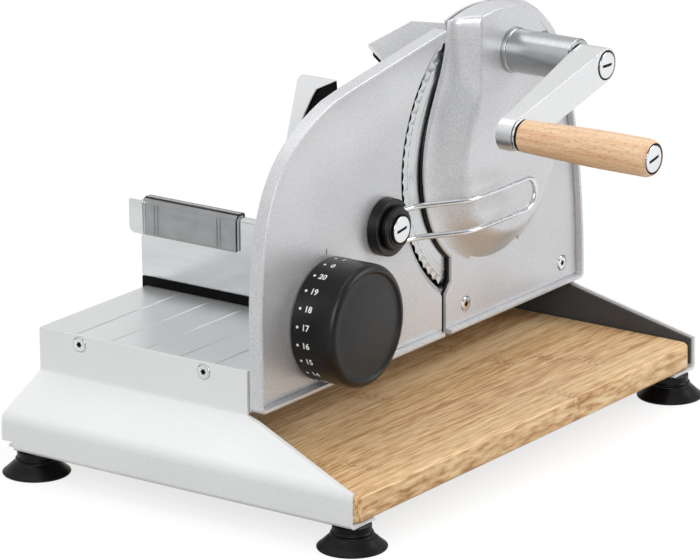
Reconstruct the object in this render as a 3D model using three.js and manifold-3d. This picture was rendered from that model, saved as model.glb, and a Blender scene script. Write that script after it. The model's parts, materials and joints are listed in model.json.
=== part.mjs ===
// Hand crank slicer: two bent side brackets carry a wooden board and a grooved table.
// Millimetres. +X runs from the left bracket to the right one, +Y from front to rear, +Z up.
// Sizes are written from the left bracket's outer face, the brackets' front edge and the floor,
// and the finished group is moved so that its origin is the middle of its footprint.
import * as THREE from "three";
import { mergeVertices } from "three/addons/utils/BufferGeometryUtils.js";
import Module from "manifold-3d";

const wasm = await Module();
wasm.setup();

// Clearances
const seat = 0.3; // between pieces that rest against each other
const running = 0.3; // radial play of shafts, pins and screws
const weld = 0.4; // how far joined lumps of one piece run into each other

// Base: feet, brackets and board
const floorZ = 2.2; // the feet's lips stand here
const footHeight = 16;
const footLipRadius = 19.6;
const footNeckRadius = 10.9;
const footInset = 15.5; // from the right bracket's outer face to the foot's axis
const footInsetLeft = 11.4;
const footFrontY = 7.7;
const footRearInset = 10.6; // from the brackets' rear edge to the rear feet's axes
const bracketSpan = 316.8; // outer face to outer face at the table
const bracketSheet = 1.6;
const bracketDepth = 237.6;
const bracketFlare = 29.8; // how far the left bracket's foot stands out
const bracketFoldZ = 56.2;
const bracketLowFoldZ = 36.2;
const bracketFoldRadius = 9;
const bracketLowReach = 4.8; // how much farther back the lower part goes
const bracketFlange = 22.3; // as wide as the feet's necks
const bracketNotch = 8;
const shoulderY = 91.3; // front edge of the brackets' upright part
const boardThickness = 15.3;
const boardOverhang = 0.6;
const boardCorner = 8;
const boardEdge = 2;
const linerThickness = 1.5;
const linerInset = 1.5;
const linerLift = 1.6; // clears the bend of the bracket's flange

// Table
const tableTopZ = 81.3;
const tableSheet = 2.2;
const skirtY = 90.5; // front face of the table's front skirt
const skirtBottomZ = 57.5;
const grooveFirst = 25.9; // from the table's rear edge to the first groove
const groovePitch = 24.3;
const grooveCount = 5;
const grooveWidth = 1.4;
const grooveDepth = 0.7;

// Screws with a six-lobed recess
const screwHeadRadius = 4.3;
const screwHeadThickness = 1.3;
const screwSink = 0.8; // of the head into the housing's face
const screwShankRadius = 2;
const screwLobeRadius = 1.9;
const tableScrewDrop = 5.3; // below the table's top
const tableScrewInset = [29.9, 28.8]; // from the brackets' shoulder and from their rear edge
const tableScrewLength = 9;

// Blade and its hub
const bladeX = 230.9;
const bladeZ = 155.4;
const bladeRadius = 85;
const bladeThickness = 1.2;
const bladeFrontY = 88.9;
const bladeWaves = 80;
const bladeWaveDepth = 1.4;
const bladeBevel = 9; // width of the ground band behind the edge
const bladeBevelDepth = 0.8;
const bladeHoleRadius = 10;
const axleRadius = 5;
const hubRadius = 15;
const coinScrewRadius = 16; // black screw that holds the blade from behind
const coinScrewEdge = 2;
const coinScrewThickness = 2.6;

// Front plates: one face depth and one rim for the stop plate and the housing
const rimFrontY = 81.3;
const faceDepth = 5; // from the rim's front to the recessed face
const rimWidth = 2.4;
const platesBottomZ = 57.5;

// Stop plate
const stopWidth = 177.5;
const stopTipZ = 238.8;
const stopLowWidth = 179.6; // below the blade
const stopRimEnd = 3.6; // the lower rim stops this far from the right edge
const stopThickness = 8.5;
const stopTravel = 20;
const bladeGap = 1.5; // from the blade's edge to the stop plate at its rear face
const stopBevel = 4.5; // how much wider the round edge is at the face
const guideRodX = [22, 155];
const guideRodZ = 68;
const guideRodRadius = 4;
const guideRodLength = 62;
const guideBushRadius = 6.5;
const guideBushFlange = 9;
const guideBushLength = 40;

// Dial
const dialX = 64.5;
const dialZ = 97;
const dialRadius = 35;
const dialDepth = 28.5;
const dialFrontY = 54.8;
const dialWall = 3;
const dialEdge = 4;
const dialDish = 1;
const dialHubRadius = 9;
const dialPivotRadius = 5;
const dialTurns = 20 / 21; // 21 divisions round the dial, used up to the last one
const camWall = 1.7;
const camRib = 1.2;
const camRibHeight = 2.2;
const camOverrun = 0.1; // radians that the groove runs past each end
const followerPinRadius = 1.2;
const followerPlay = 0.4;
const followerRodRadius = 3;

// Housing
const plateGap = 2.8; // between the stop plate and the housing, below the blade
const housingWaist = 5.6; // the left edge's step where the blade passes
const housingWaistZ = [80.5, 86.8];
const housingRadius = 89.3; // of the rear plate about the blade, and half the right edge's distance
const housingFaceDepth = 4;
const housingRearY = 87.1;
const backThickness = 1.1; // black plate behind the shell
const backProud = 0.9;
const housingCorner = 4;
const housingWall = 2.5;
const domeFrontY = 71.5;
const domeFrontRadius = 46;
const domeFaceRadius = 62; // where the cone meets the plate's face
const domeLipRadius = 69;
const blockLeft = 32; // front face of the gear block, from the blade's axis
const blockRight = 27.1;
const blockDraft = 10.5;
const crownRadius = 98.2; // rounded top of the gear block
const crownX = -14.4; // its centre from the blade's axis
const crownZ = -8.4;
const housingScrewInset = [20, 17.3]; // from the left and right edges
const housingScrewZ = 70.3;
const housingScrewLength = 9;

// Gears
const gearModule = 1.5;
const driveTeeth = 29;
const bladeTeeth = 54;
const gearThickness = 10;
const gearBacklash = 0.3;
const gearPressureAngle = Math.PI / 9;
const gearFrontGap = 0.6; // from the housing's inner face to the gears

// Crank
const shaftRadius = 5;
const sleeveRadius = 12.6;
const sleeveFlangeRadius = 13.2;
const sleeveFlange = 2.5;
const sleeveSpigot = 8;
const armLength = 90;
const armAngle = (-13.8 * Math.PI) / 180; // below the horizontal, pointing left
const armRadius = 9.8;
const armFrontY = 8;
const armDepthShaft = 17.5;
const armDepthHandle = 10;
const capRadius = 8.1; // slotted cap screws
const capThickness = 2.8;
const capProud = 0.9;
const slotWidth = 1.8;
const slotDepth = 1.6;
const handleLength = 84.5;
const handleInnerRadius = 9.4;
const handleOuterRadius = 10.7;
const handleAxleRadius = 4;
const collarRadius = 9.3;
const collarThickness = 2.2;

// Slice deflector
const knobX = 122.5;
const knobZ = 136;
const knobRadius = 16.8;
const knobSeatThickness = 6.5;
const knobCapRadius = 12.5;
const knobCapThickness = 4.6;
const wireRadius = 1.3;
const wireSpread = 19; // between the two runs
const wireKinkX = 45; // from the knob's axis to the bend
const wireForward = 20.8; // how far the loop stands in front of the knob
const wireReach = 110;

// Carriage and food holder
const carriageX = 95; // outer face of the pusher wall
const carriageFrontY = 95.5;
const carriageRearY = 238.2;
const carriageBottomZ = 87.3;
const carriageTopZ = 133.8;
const carriageSheet = 2;
const carriageLip = 4.5;
const carriageFloor = 140;
const tabReach = 8.8;
const tabBottomZ = 113;
const tabCorner = 4;
const sliderRail = 12;
const sliderInset = 2.6; // from the pusher wall's face and rear edge
const sliderLipThickness = 2.5;
const sliderLipDrop = 11;
const guardFrontY = 168.2;
const guardRearY = 235.4;
const guardSheet = 1.8;
const guardBottomZ = 114;
const guardFoldZ = 132.9;
const guardTopZ = 135.9;
const guardInnerZ = 123;
const holderGap = 0.9; // from the thumb guard to the food holder's cheek
const holderRight = 236;
const holderFrontY = 103.6;
const holderTopZ = 222;
const holderTopDepth = 26.8;
const holderBottomDepth = 57;
const holderWall = 2;
const holderLean = 2.9; // the cheek's front edge leans back above the press
const holderCorner = 3;
const coreDrop = 1.4; // the core's cheek ends below the shell's
const holderPress = 3;
const holderDipZ = 180;
const roofLeft = 170; // tilted roof over the right part
const roofRight = 235;
const roofPeakX = 213;
const roofKneeY = 121;
const roofZ = 225.3; // top of its rear left corner
const roofRise = 0.115; // towards the right
const roofSlope = 0.75; // towards the rear
const rearWallLeft = 185; // of the rear wall's upper part
const holderRibs = 6;
const holderRibHeight = 3;

// Places worked out from the sizes above
const faceY = rimFrontY + faceDepth;
const housingFaceY = rimFrontY + housingFaceDepth;
const backRearY = housingRearY + seat + backThickness;
const boardBottomZ = footHeight + bracketSheet + seat;
const boardTopZ = boardBottomZ + boardThickness;
const rightFaceX = bracketSpan;
const rightInnerX = rightFaceX - bracketSheet;
const footXs = { left: footInsetLeft - bracketFlare, right: rightFaceX - footInset };
const footRearY = bracketDepth - footRearInset;
const footYs = { front: footFrontY, rear: footRearY };
const tableScrewY = [shoulderY + tableScrewInset[0], bracketDepth - tableScrewInset[1]];
const housingLeftX = stopLowWidth + plateGap;
const housingWaistX = housingLeftX + housingWaist;
const housingScrewX = [housingLeftX + housingScrewInset[0], bladeX + housingRadius - housingScrewInset[1]];
const bladeRearY = bladeFrontY + bladeThickness;
const stopRearY = rimFrontY + stopThickness;
const gearDistance = ((driveTeeth + bladeTeeth) * gearModule) / 2;
const crankX = bladeX;
const crankZ = bladeZ + gearDistance;
const dialBackY = dialFrontY + dialDepth;
const armRearY = armFrontY + armDepthShaft;
const gearFrontY = domeFrontY + housingWall + gearFrontGap;
const gearRearY = gearFrontY + gearThickness;
const tableScrewZ = tableTopZ - tableScrewDrop;
const handleX = crankX - armLength * Math.cos(armAngle);
const handleZ = crankZ + armLength * Math.sin(armAngle);
const collarFrontY = armFrontY - seat - collarThickness;
const handleRearY = collarFrontY - seat;
const handleFrontY = handleRearY - handleLength;

// Finishes
const silverPaint = finish(0xdadbdc, 0.42, 0.55);
const castSilver = finish(0xc9cbcd, 0.48, 0.6);
const satinMetal = finish(0xb9bcbf, 0.38, 0.85);
const polished = finish(0xdfe2e4, 0.12, 1);
const steel = finish(0x9da0a3, 0.3, 0.95);
const matteBlack = finish(0x222325, 0.55, 0);
const rubberBlack = finish(0x161617, 0.75, 0);
const linerBlack = finish(0x2e2e30, 0.6, 0);
const bamboo = finish(0xd9b27c, 0.55, 0);
const beech = finish(0xdca673, 0.5, 0);
const smokedClear = finish(0x8f9193, 0.3, 0);
const gearPlastic = finish(0xe6e2d8, 0.5, 0);
const bushPlastic = finish(0x3a3b3d, 0.6, 0);

function finish(color, roughness, metalness) {
  return new THREE.MeshStandardMaterial({ color, roughness, metalness });
}

// Closed geometry with merged vertices and outward faces, as a solid that can be joined and cut
function solid(geometry) {
  const bare = geometry.clone();
  bare.deleteAttribute("normal");
  bare.deleteAttribute("uv");
  const merged = mergeVertices(bare, 1e-4);
  const corners = merged.attributes.position.array;
  const index = merged.index.array;
  const triangles = [];
  let volume = 0;
  const [a, b, c] = [new THREE.Vector3(), new THREE.Vector3(), new THREE.Vector3()];
  for (let i = 0; i < index.length; i += 3) {
    const [i0, i1, i2] = [index[i], index[i + 1], index[i + 2]];
    if (i0 === i1 || i1 === i2 || i2 === i0) continue;
    triangles.push([i0, i1, i2]);
    a.fromArray(corners, i0 * 3);
    b.fromArray(corners, i1 * 3);
    c.fromArray(corners, i2 * 3);
    volume += a.dot(b.cross(c));
  }
  if (volume < 0) triangles.forEach((triangle) => triangle.reverse());
  return new wasm.Manifold(
    new wasm.Mesh({
      numProp: 3,
      vertProperties: new Float32Array(corners),
      triVerts: Uint32Array.from(triangles.flat()),
    }),
  );
}

function join(...solids) {
  return solids.reduce((whole, piece) => whole.add(piece));
}

function cut(whole, ...tools) {
  return tools.reduce((left, tool) => left.subtract(tool), whole);
}

function box(x0, x1, y0, y1, z0, z1) {
  const geometry = new THREE.BoxGeometry(x1 - x0, y1 - y0, z1 - z0);
  geometry.translate((x0 + x1) / 2, (y0 + y1) / 2, (z0 + z1) / 2);
  return solid(geometry);
}

function shapeOf(points) {
  return new THREE.Shape(points.map(([u, v]) => new THREE.Vector2(u, v)));
}

// Outline in X and Z, from y0 in front to y1 behind
function extrudeY(points, y0, y1) {
  const geometry = new THREE.ExtrudeGeometry(shapeOf(points), { depth: y1 - y0, bevelEnabled: false });
  geometry.rotateX(Math.PI / 2);
  geometry.translate(0, y1, 0);
  return solid(geometry);
}

// Outline in Y and Z, from x0 to x1
function extrudeX(points, x0, x1) {
  const geometry = new THREE.ExtrudeGeometry(shapeOf(points), { depth: x1 - x0, bevelEnabled: false });
  const toX = new THREE.Matrix4().makeBasis(
    new THREE.Vector3(0, 1, 0),
    new THREE.Vector3(0, 0, 1),
    new THREE.Vector3(1, 0, 0),
  );
  geometry.applyMatrix4(toX);
  geometry.translate(x0, 0, 0);
  return solid(geometry);
}

// Round piece about an axis along Y; the profile lists radius and Y
function turnY(profile, x, z, segments = 48) {
  const geometry = new THREE.LatheGeometry(profile.map(([r, y]) => new THREE.Vector2(r, y)), segments);
  geometry.translate(x, 0, z);
  return solid(geometry);
}

// Round piece about an axis along Z; the profile lists radius and Z
function turnZ(profile, x, y, segments = 48) {
  const geometry = new THREE.LatheGeometry(profile.map(([r, z]) => new THREE.Vector2(r, z)), segments);
  geometry.rotateX(Math.PI / 2);
  geometry.translate(x, y, 0);
  return solid(geometry);
}

function rodY(radius, x, z, y0, y1, segments = 32) {
  return turnY([[0, y0], [radius, y0], [radius, y1], [0, y1]], x, z, segments);
}

function rodZ(radius, x, y, z0, z1, segments = 32) {
  return turnZ([[0, z0], [radius, z0], [radius, z1], [0, z1]], x, y, segments);
}

function rodX(radius, y, z, x0, x1, segments = 32) {
  const geometry = new THREE.CylinderGeometry(radius, radius, x1 - x0, segments);
  geometry.rotateZ(Math.PI / 2);
  geometry.translate((x0 + x1) / 2, y, z);
  return solid(geometry);
}

// Straight-sided body between two outlines with as many points each
function loftY(front, y0, rear, y1) {
  const count = front.length;
  const corners = [...front.map(([x, z]) => [x, y0, z]), ...rear.map(([x, z]) => [x, y1, z])];
  const faces = [];
  for (let i = 0; i < count; i += 1) {
    const j = (i + 1) % count;
    faces.push([i, j, count + j], [i, count + j, count + i]);
  }
  const cap = (points) => THREE.ShapeUtils.triangulateShape(shapeOf(points).getPoints(), []);
  cap(front).forEach(([i, j, k]) => faces.push([k, j, i]));
  cap(rear).forEach(([i, j, k]) => faces.push([count + i, count + j, count + k]));
  const geometry = new THREE.BufferGeometry();
  geometry.setAttribute("position", new THREE.Float32BufferAttribute(corners.flat(), 3));
  geometry.setIndex(faces.flat());
  return solid(geometry);
}

function arc(cx, cz, radius, from, to, steps) {
  const points = [];
  for (let i = 0; i <= steps; i += 1) {
    const angle = from + ((to - from) * i) / steps;
    points.push([cx + radius * Math.cos(angle), cz + radius * Math.sin(angle)]);
  }
  return points;
}

// Open path with its inner corners rounded; each corner lists u, v and its radius
function roundedPath(corners, steps = 6) {
  const points = [];
  corners.forEach(([u, v, radius = 0], i) => {
    if (!radius || i === 0 || i === corners.length - 1) {
      points.push([u, v]);
      return;
    }
    const here = new THREE.Vector2(u, v);
    const back = new THREE.Vector2(corners[i - 1][0], corners[i - 1][1]).sub(here).normalize();
    const on = new THREE.Vector2(corners[i + 1][0], corners[i + 1][1]).sub(here).normalize();
    const half = Math.acos(THREE.MathUtils.clamp(back.dot(on), -1, 1)) / 2;
    const reach = radius / Math.tan(half);
    const centre = back.clone().add(on).normalize().multiplyScalar(radius / Math.sin(half)).add(here);
    const first = here.clone().addScaledVector(back, reach).sub(centre);
    const last = here.clone().addScaledVector(on, reach).sub(centre);
    let sweep = last.angle() - first.angle();
    if (sweep > Math.PI) sweep -= 2 * Math.PI;
    if (sweep < -Math.PI) sweep += 2 * Math.PI;
    for (let k = 0; k <= steps; k += 1) {
      const angle = first.angle() + (sweep * k) / steps;
      points.push([centre.x + radius * Math.cos(angle), centre.y + radius * Math.sin(angle)]);
    }
  });
  return points;
}

// Closed outline of a bent sheet: the path and its offset to the left by the sheet's thickness
function sheetOutline(path, thickness) {
  const offset = path.map(([u, v], i) => {
    const before = path[Math.max(i - 1, 0)];
    const after = path[Math.min(i + 1, path.length - 1)];
    const inward = new THREE.Vector2(u - before[0], v - before[1]);
    const onward = new THREE.Vector2(after[0] - u, after[1] - v);
    if (inward.length() === 0) inward.copy(onward);
    if (onward.length() === 0) onward.copy(inward);
    inward.normalize();
    onward.normalize();
    const mitre = new THREE.Vector2(-inward.y - onward.y, inward.x + onward.x).normalize();
    const stretch = thickness / Math.max(mitre.dot(new THREE.Vector2(-inward.y, inward.x)), 0.3);
    return [u + mitre.x * stretch, v + mitre.y * stretch];
  });
  return [...path, ...offset.reverse()];
}

const slicer = new THREE.Group();

function addNode(name, whole, material, parent = slicer) {
  const { numProp, vertProperties, triVerts } = whole.getMesh();
  const corners = new Float32Array((vertProperties.length / numProp) * 3);
  for (let i = 0; i < corners.length / 3; i += 1) {
    for (let k = 0; k < 3; k += 1) corners[i * 3 + k] = vertProperties[i * numProp + k];
  }
  const geometry = new THREE.BufferGeometry();
  geometry.setAttribute("position", new THREE.BufferAttribute(corners, 3));
  geometry.setIndex(new THREE.BufferAttribute(new Uint32Array(triVerts), 1));
  geometry.computeVertexNormals();
  const mesh = new THREE.Mesh(geometry, material);
  mesh.name = name;
  parent.add(mesh);
}

// Screw along -Y whose head's front face is at headY; the recess has six lobes
function lobedScrew(headY, length) {
  const lobes = [];
  for (let i = 0; i < 12; i += 1) {
    const radius = i % 2 ? screwLobeRadius * 0.66 : screwLobeRadius;
    lobes.push([radius * Math.cos((i * Math.PI) / 6), radius * Math.sin((i * Math.PI) / 6)]);
  }
  const crown = 0.35;
  const body = turnY(
    [
      [0, headY],
      [screwHeadRadius * 0.72, headY],
      [screwHeadRadius, headY + crown],
      [screwHeadRadius, headY + screwHeadThickness],
      [screwShankRadius, headY + screwHeadThickness],
      [screwShankRadius, headY + length],
      [0, headY + length],
    ],
    0,
    0,
    16,
  );
  return cut(body, extrudeY(lobes, headY - 1, headY + screwHeadThickness * 0.7));
}

// Round cap screw along -Y with a lens-shaped slot, turned by slotAngle
function slottedCap(headY, slotAngle, stemRadius, stemLength) {
  const edge = 0.6;
  const body = turnY(
    [
      [0, headY],
      [capRadius * 0.6, headY + 0.12],
      [capRadius - edge, headY + 0.35],
      [capRadius, headY + 0.35 + edge],
      [capRadius, headY + capThickness],
      [stemRadius, headY + capThickness],
      [stemRadius, headY + capThickness + stemLength],
      [0, headY + capThickness + stemLength],
    ],
    0,
    0,
    24,
  );
  const cutterRadius = (capRadius * capRadius * 0.72) / (2 * slotDepth);
  const cutter = new THREE.CylinderGeometry(cutterRadius, cutterRadius, slotWidth, 24);
  const slot = new THREE.Matrix4()
    .makeRotationY(-slotAngle)
    .multiply(new THREE.Matrix4().makeTranslation(0, headY + slotDepth - cutterRadius, 0))
    .multiply(new THREE.Matrix4().makeRotationX(Math.PI / 2));
  cutter.applyMatrix4(slot);
  return cut(body, solid(cutter));
}

// Feet, brackets, liner and board
function buildBase() {
  const screwHeadZ = 5;
  const screwHeadHeight = 2.2;
  const screwTopZ = boardBottomZ + 10;
  const footScrewRadius = 2;
  const cupProfile = [
    [0, screwHeadZ],
    [4.6, screwHeadZ],
    [9, 4.4],
    [footLipRadius - 1.8, floorZ],
    [footLipRadius - 0.6, floorZ],
    [footLipRadius, floorZ + 0.9],
    [footLipRadius - 2.6, 5.6],
    [footNeckRadius + 1, 9.6],
    [footNeckRadius, 11.2],
    [footNeckRadius, footHeight - seat],
    [0, footHeight - seat],
  ];
  const screwHoles = [];
  for (const [side, x] of Object.entries(footXs)) {
    for (const [end, y] of Object.entries(footYs)) {
      const bore = footScrewRadius + running;
      const cup = cut(
        turnZ(cupProfile, x, y, 24),
        rodZ(bore, x, y, -1, footHeight + 1, 12),
        rodZ(4.2, x, y, -1, screwHeadZ + screwHeadHeight + seat, 16),
      );
      addNode(`foot_${end}_${side}`, cup, rubberBlack);
      const screw = turnZ(
        [
          [0, screwHeadZ],
          [3.8, screwHeadZ],
          [3.8, screwHeadZ + screwHeadHeight],
          [footScrewRadius, screwHeadZ + screwHeadHeight],
          [footScrewRadius, screwTopZ],
          [0, screwTopZ],
        ],
        x,
        y,
        12,
      );
      addNode(`foot_screw_${end}_${side}`, screw, steel);
      screwHoles.push(rodZ(bore, x, y, footHeight - 1, screwTopZ + seat, 12));
    }
  }

  const lowRearY = bracketDepth + bracketLowReach;
  const sideView = extrudeX(
    [
      [0, 0],
      [lowRearY, 0],
      [lowRearY, bracketLowFoldZ],
      [bracketDepth, bracketFoldZ],
      [bracketDepth, tableTopZ + 1],
      [shoulderY, tableTopZ + 1],
      [shoulderY, bracketFoldZ],
      [0, bracketLowFoldZ],
    ],
    -2 * bracketFlare,
    bracketSpan + 1,
  );
  const notch = (x0, x1) => box(x0, x1, lowRearY - bracketNotch, lowRearY + 1, 0, footHeight + bracketNotch * 0.7);
  const screwBores = (x0, x1, headX0, headX1) =>
    tableScrewY.flatMap((y) => [
      rodX(screwShankRadius + running, y, tableScrewZ, x0, x1, 12),
      rodX(screwHeadRadius + running, y, tableScrewZ, headX0, headX1, 16),
    ]);
  const headSink = 0.9;

  const leftPath = roundedPath([
    [bracketFlange - bracketFlare, footHeight],
    [-bracketFlare, footHeight, 3],
    [-bracketFlare, bracketLowFoldZ, bracketFoldRadius],
    [0, bracketFoldZ, 2.5],
    [0, tableTopZ],
  ]);
  const leftSheet = extrudeY(sheetOutline(leftPath.reverse(), bracketSheet), 0, lowRearY).intersect(sideView);
  addNode(
    "left_bracket",
    cut(
      leftSheet,
      notch(-bracketFlare - 1, -bracketFlare + 6),
      ...screwBores(-1, bracketSheet + 1, -1, headSink),
      ...screwHoles,
    ),
    silverPaint,
  );

  const rightPath = roundedPath([
    [rightFaceX - bracketFlange, footHeight],
    [rightFaceX, footHeight, 3],
    [rightFaceX, tableTopZ],
  ]);
  const rightSheet = extrudeY(sheetOutline(rightPath, bracketSheet), 0, lowRearY).intersect(sideView);
  addNode(
    "right_bracket",
    cut(
      rightSheet,
      notch(rightFaceX - 6, rightFaceX + 1),
      ...screwBores(rightInnerX - 1, rightFaceX + 1, rightFaceX - headSink, rightFaceX + 1),
      ...screwHoles,
    ),
    silverPaint,
  );

  const linerTop = skirtBottomZ - 2;
  const slope = (bracketFoldZ - bracketLowFoldZ) / shoulderY;
  const linerFront = linerInset;
  const linerKneeY = (linerTop - bracketLowFoldZ + linerInset) / slope;
  addNode(
    "side_liner",
    extrudeX(
      [
        [linerFront, boardBottomZ + linerLift],
        [bracketDepth - linerInset, boardBottomZ + linerLift],
        [bracketDepth - linerInset, linerTop],
        [linerKneeY, linerTop],
        [linerFront, bracketLowFoldZ - linerInset + slope * linerFront],
      ],
      rightInnerX - seat - linerThickness,
      rightInnerX - seat,
    ),
    linerBlack,
  );

  const boardLeft = -bracketFlare + bracketSheet + 1.8;
  const boardRight = rightInnerX - seat - linerThickness - seat;
  const boardFront = -boardOverhang;
  const boardRear = bracketDepth - 2;
  const plan = roundedPath(
    [
      [(boardLeft + boardRight) / 2, boardFront + boardEdge],
      [boardRight - boardEdge, boardFront + boardEdge, boardCorner],
      [boardRight - boardEdge, boardRear - boardEdge, boardCorner],
      [boardLeft + boardEdge, boardRear - boardEdge, boardCorner],
      [boardLeft + boardEdge, boardFront + boardEdge, boardCorner],
      [(boardLeft + boardRight) / 2, boardFront + boardEdge],
    ],
    5,
  );
  plan.pop();
  const board = new THREE.ExtrudeGeometry(shapeOf(plan), {
    depth: boardThickness - 2 * boardEdge,
    bevelThickness: boardEdge,
    bevelSize: boardEdge,
    bevelSegments: 3,
  });
  board.translate(0, 0, boardBottomZ + boardEdge);
  addNode("base_board", cut(solid(board), ...screwHoles), bamboo);
}

// Folded table with its skirts, grooves, bushes and end screws
function buildTable() {
  const left = bracketSheet + seat;
  const right = rightInnerX - seat;
  const sheet = tableSheet;
  const rear = bracketDepth;
  const shell = cut(
    box(left, right, skirtY, rear, skirtBottomZ, tableTopZ),
    box(left + sheet, right - sheet, skirtY + sheet, rear - sheet, skirtBottomZ - 1, tableTopZ - sheet),
  );
  const grooves = [];
  for (let i = 0; i < grooveCount; i += 1) {
    const y = rear - grooveFirst - i * groovePitch;
    grooves.push(
      extrudeX(
        [
          [y - grooveWidth / 2, tableTopZ + 0.2],
          [y - grooveWidth / 2, tableTopZ],
          [y, tableTopZ - grooveDepth],
          [y + grooveWidth / 2, tableTopZ],
          [y + grooveWidth / 2, tableTopZ + 0.2],
        ],
        left - 1,
        right + 1,
      ),
    );
  }
  const skirtHole = (radius, x, z) => rodY(radius + running, x, z, skirtY - 1, skirtY + sheet + 1, 20);
  const endBores = tableScrewY.map((y) =>
    rodX(screwShankRadius + running, y, tableScrewZ, left - 1, right + 1, 12),
  );
  addNode(
    "table_plate",
    cut(
      shell,
      ...grooves,
      ...endBores,
      ...guideRodX.map((x) => skirtHole(guideBushRadius, x, guideRodZ)),
      ...housingScrewX.map((x) => skirtHole(screwShankRadius, x, housingScrewZ)),
      skirtHole(followerRodRadius, dialX, followerZ),
    ),
    satinMetal,
  );

  tableScrewY.forEach((y, i) => {
    const end = i ? "rear" : "front";
    const headSink = 0.5;
    for (const side of ["left", "right"]) {
      const turn = side === "left" ? -90 : 90;
      const screw = lobedScrew(0, tableScrewLength).rotate([0, 0, turn]);
      const x = side === "left" ? -headSink : rightFaceX + headSink;
      addNode(`table_screw_${end}_${side}`, screw.translate([x, y, tableScrewZ]), polished);
    }
  });

  guideRodX.forEach((x, i) => {
    const y0 = skirtY + 0.6;
    const flangeY = skirtY + tableSheet + seat;
    const bore = guideRodRadius + running;
    const bush = turnY(
      [
        [bore, y0],
        [guideBushRadius, y0],
        [guideBushRadius, flangeY],
        [guideBushFlange, flangeY],
        [guideBushFlange, flangeY + 2.5],
        [guideBushRadius, flangeY + 2.5],
        [guideBushRadius, y0 + guideBushLength],
        [bore, y0 + guideBushLength],
        [bore, y0],
      ],
      x,
      guideRodZ,
      20,
    );
    addNode(`guide_bush_${i ? "right" : "left"}`, bush, bushPlastic);
  });
}

// The follower's radius inside the dial, and the groove that it runs in
const camOuter = dialRadius - dialWall - seat;
const camInner = camOuter - camWall;
const camRibInner = camInner - camRibHeight;
const followerReach = camInner - 0.6;
const followerZ = dialZ - camRibInner + 1.4 + followerRodRadius;
const camHalfGroove = followerPinRadius + followerPlay + camRib;
const camFrontY = dialFrontY + dialWall + dialDish + seat;
const stopTurn = dialTurns * 2 * Math.PI;
const camLead = stopTravel / stopTurn;
const followerY = camFrontY + camHalfGroove + camOverrun * camLead;
const camRearY = followerY + stopTravel + camHalfGroove + camOverrun * camLead;

// One wall of the dial's inner groove: a rectangle carried along a helix
function camWallRib(offset) {
  const steps = 24;
  const corners = [];
  const faces = [];
  for (let i = 0; i <= steps; i += 1) {
    const turn = -camOverrun + ((stopTurn + 2 * camOverrun) * i) / steps;
    const y = followerY + camLead * turn + offset;
    for (const [r, dy] of [
      [camRibInner, -camRib / 2],
      [camInner + weld, -camRib / 2],
      [camInner + weld, camRib / 2],
      [camRibInner, camRib / 2],
    ]) {
      corners.push(dialX - r * Math.sin(turn), y + dy, dialZ - r * Math.cos(turn));
    }
    if (i === steps) break;
    for (let k = 0; k < 4; k += 1) {
      const a = i * 4 + k;
      const b = i * 4 + ((k + 1) % 4);
      faces.push(a, b, b + 4, a, b + 4, a + 4);
    }
  }
  const last = steps * 4;
  faces.push(0, 2, 1, 0, 3, 2, last, last + 1, last + 2, last, last + 2, last + 3);
  const geometry = new THREE.BufferGeometry();
  geometry.setAttribute("position", new THREE.Float32BufferAttribute(corners, 3));
  geometry.setIndex(faces);
  return solid(geometry);
}

// Outline of the stop plate's left and upper edge, drawn in by inset
function stopEdge(inset) {
  const curve = new THREE.CubicBezierCurve(
    new THREE.Vector2(0, 100),
    new THREE.Vector2(-0.4, 177.1),
    new THREE.Vector2(17.8, 202.8),
    new THREE.Vector2(68, 220.2),
  );
  const bend = curve.getPoints(14);
  const top = [
    new THREE.Vector2(84, 223.6),
    new THREE.Vector2(124, 230.3),
    new THREE.Vector2(stopWidth, stopTipZ),
  ];
  const edge = [new THREE.Vector2(0, platesBottomZ), ...bend, ...top];
  return edge.map((point, i) => {
    const before = edge[Math.max(i - 1, 0)];
    const after = edge[Math.min(i + 1, edge.length - 1)];
    const along = after.clone().sub(before).normalize();
    return [point.x + along.y * inset, point.y - along.x * inset];
  });
}

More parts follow.
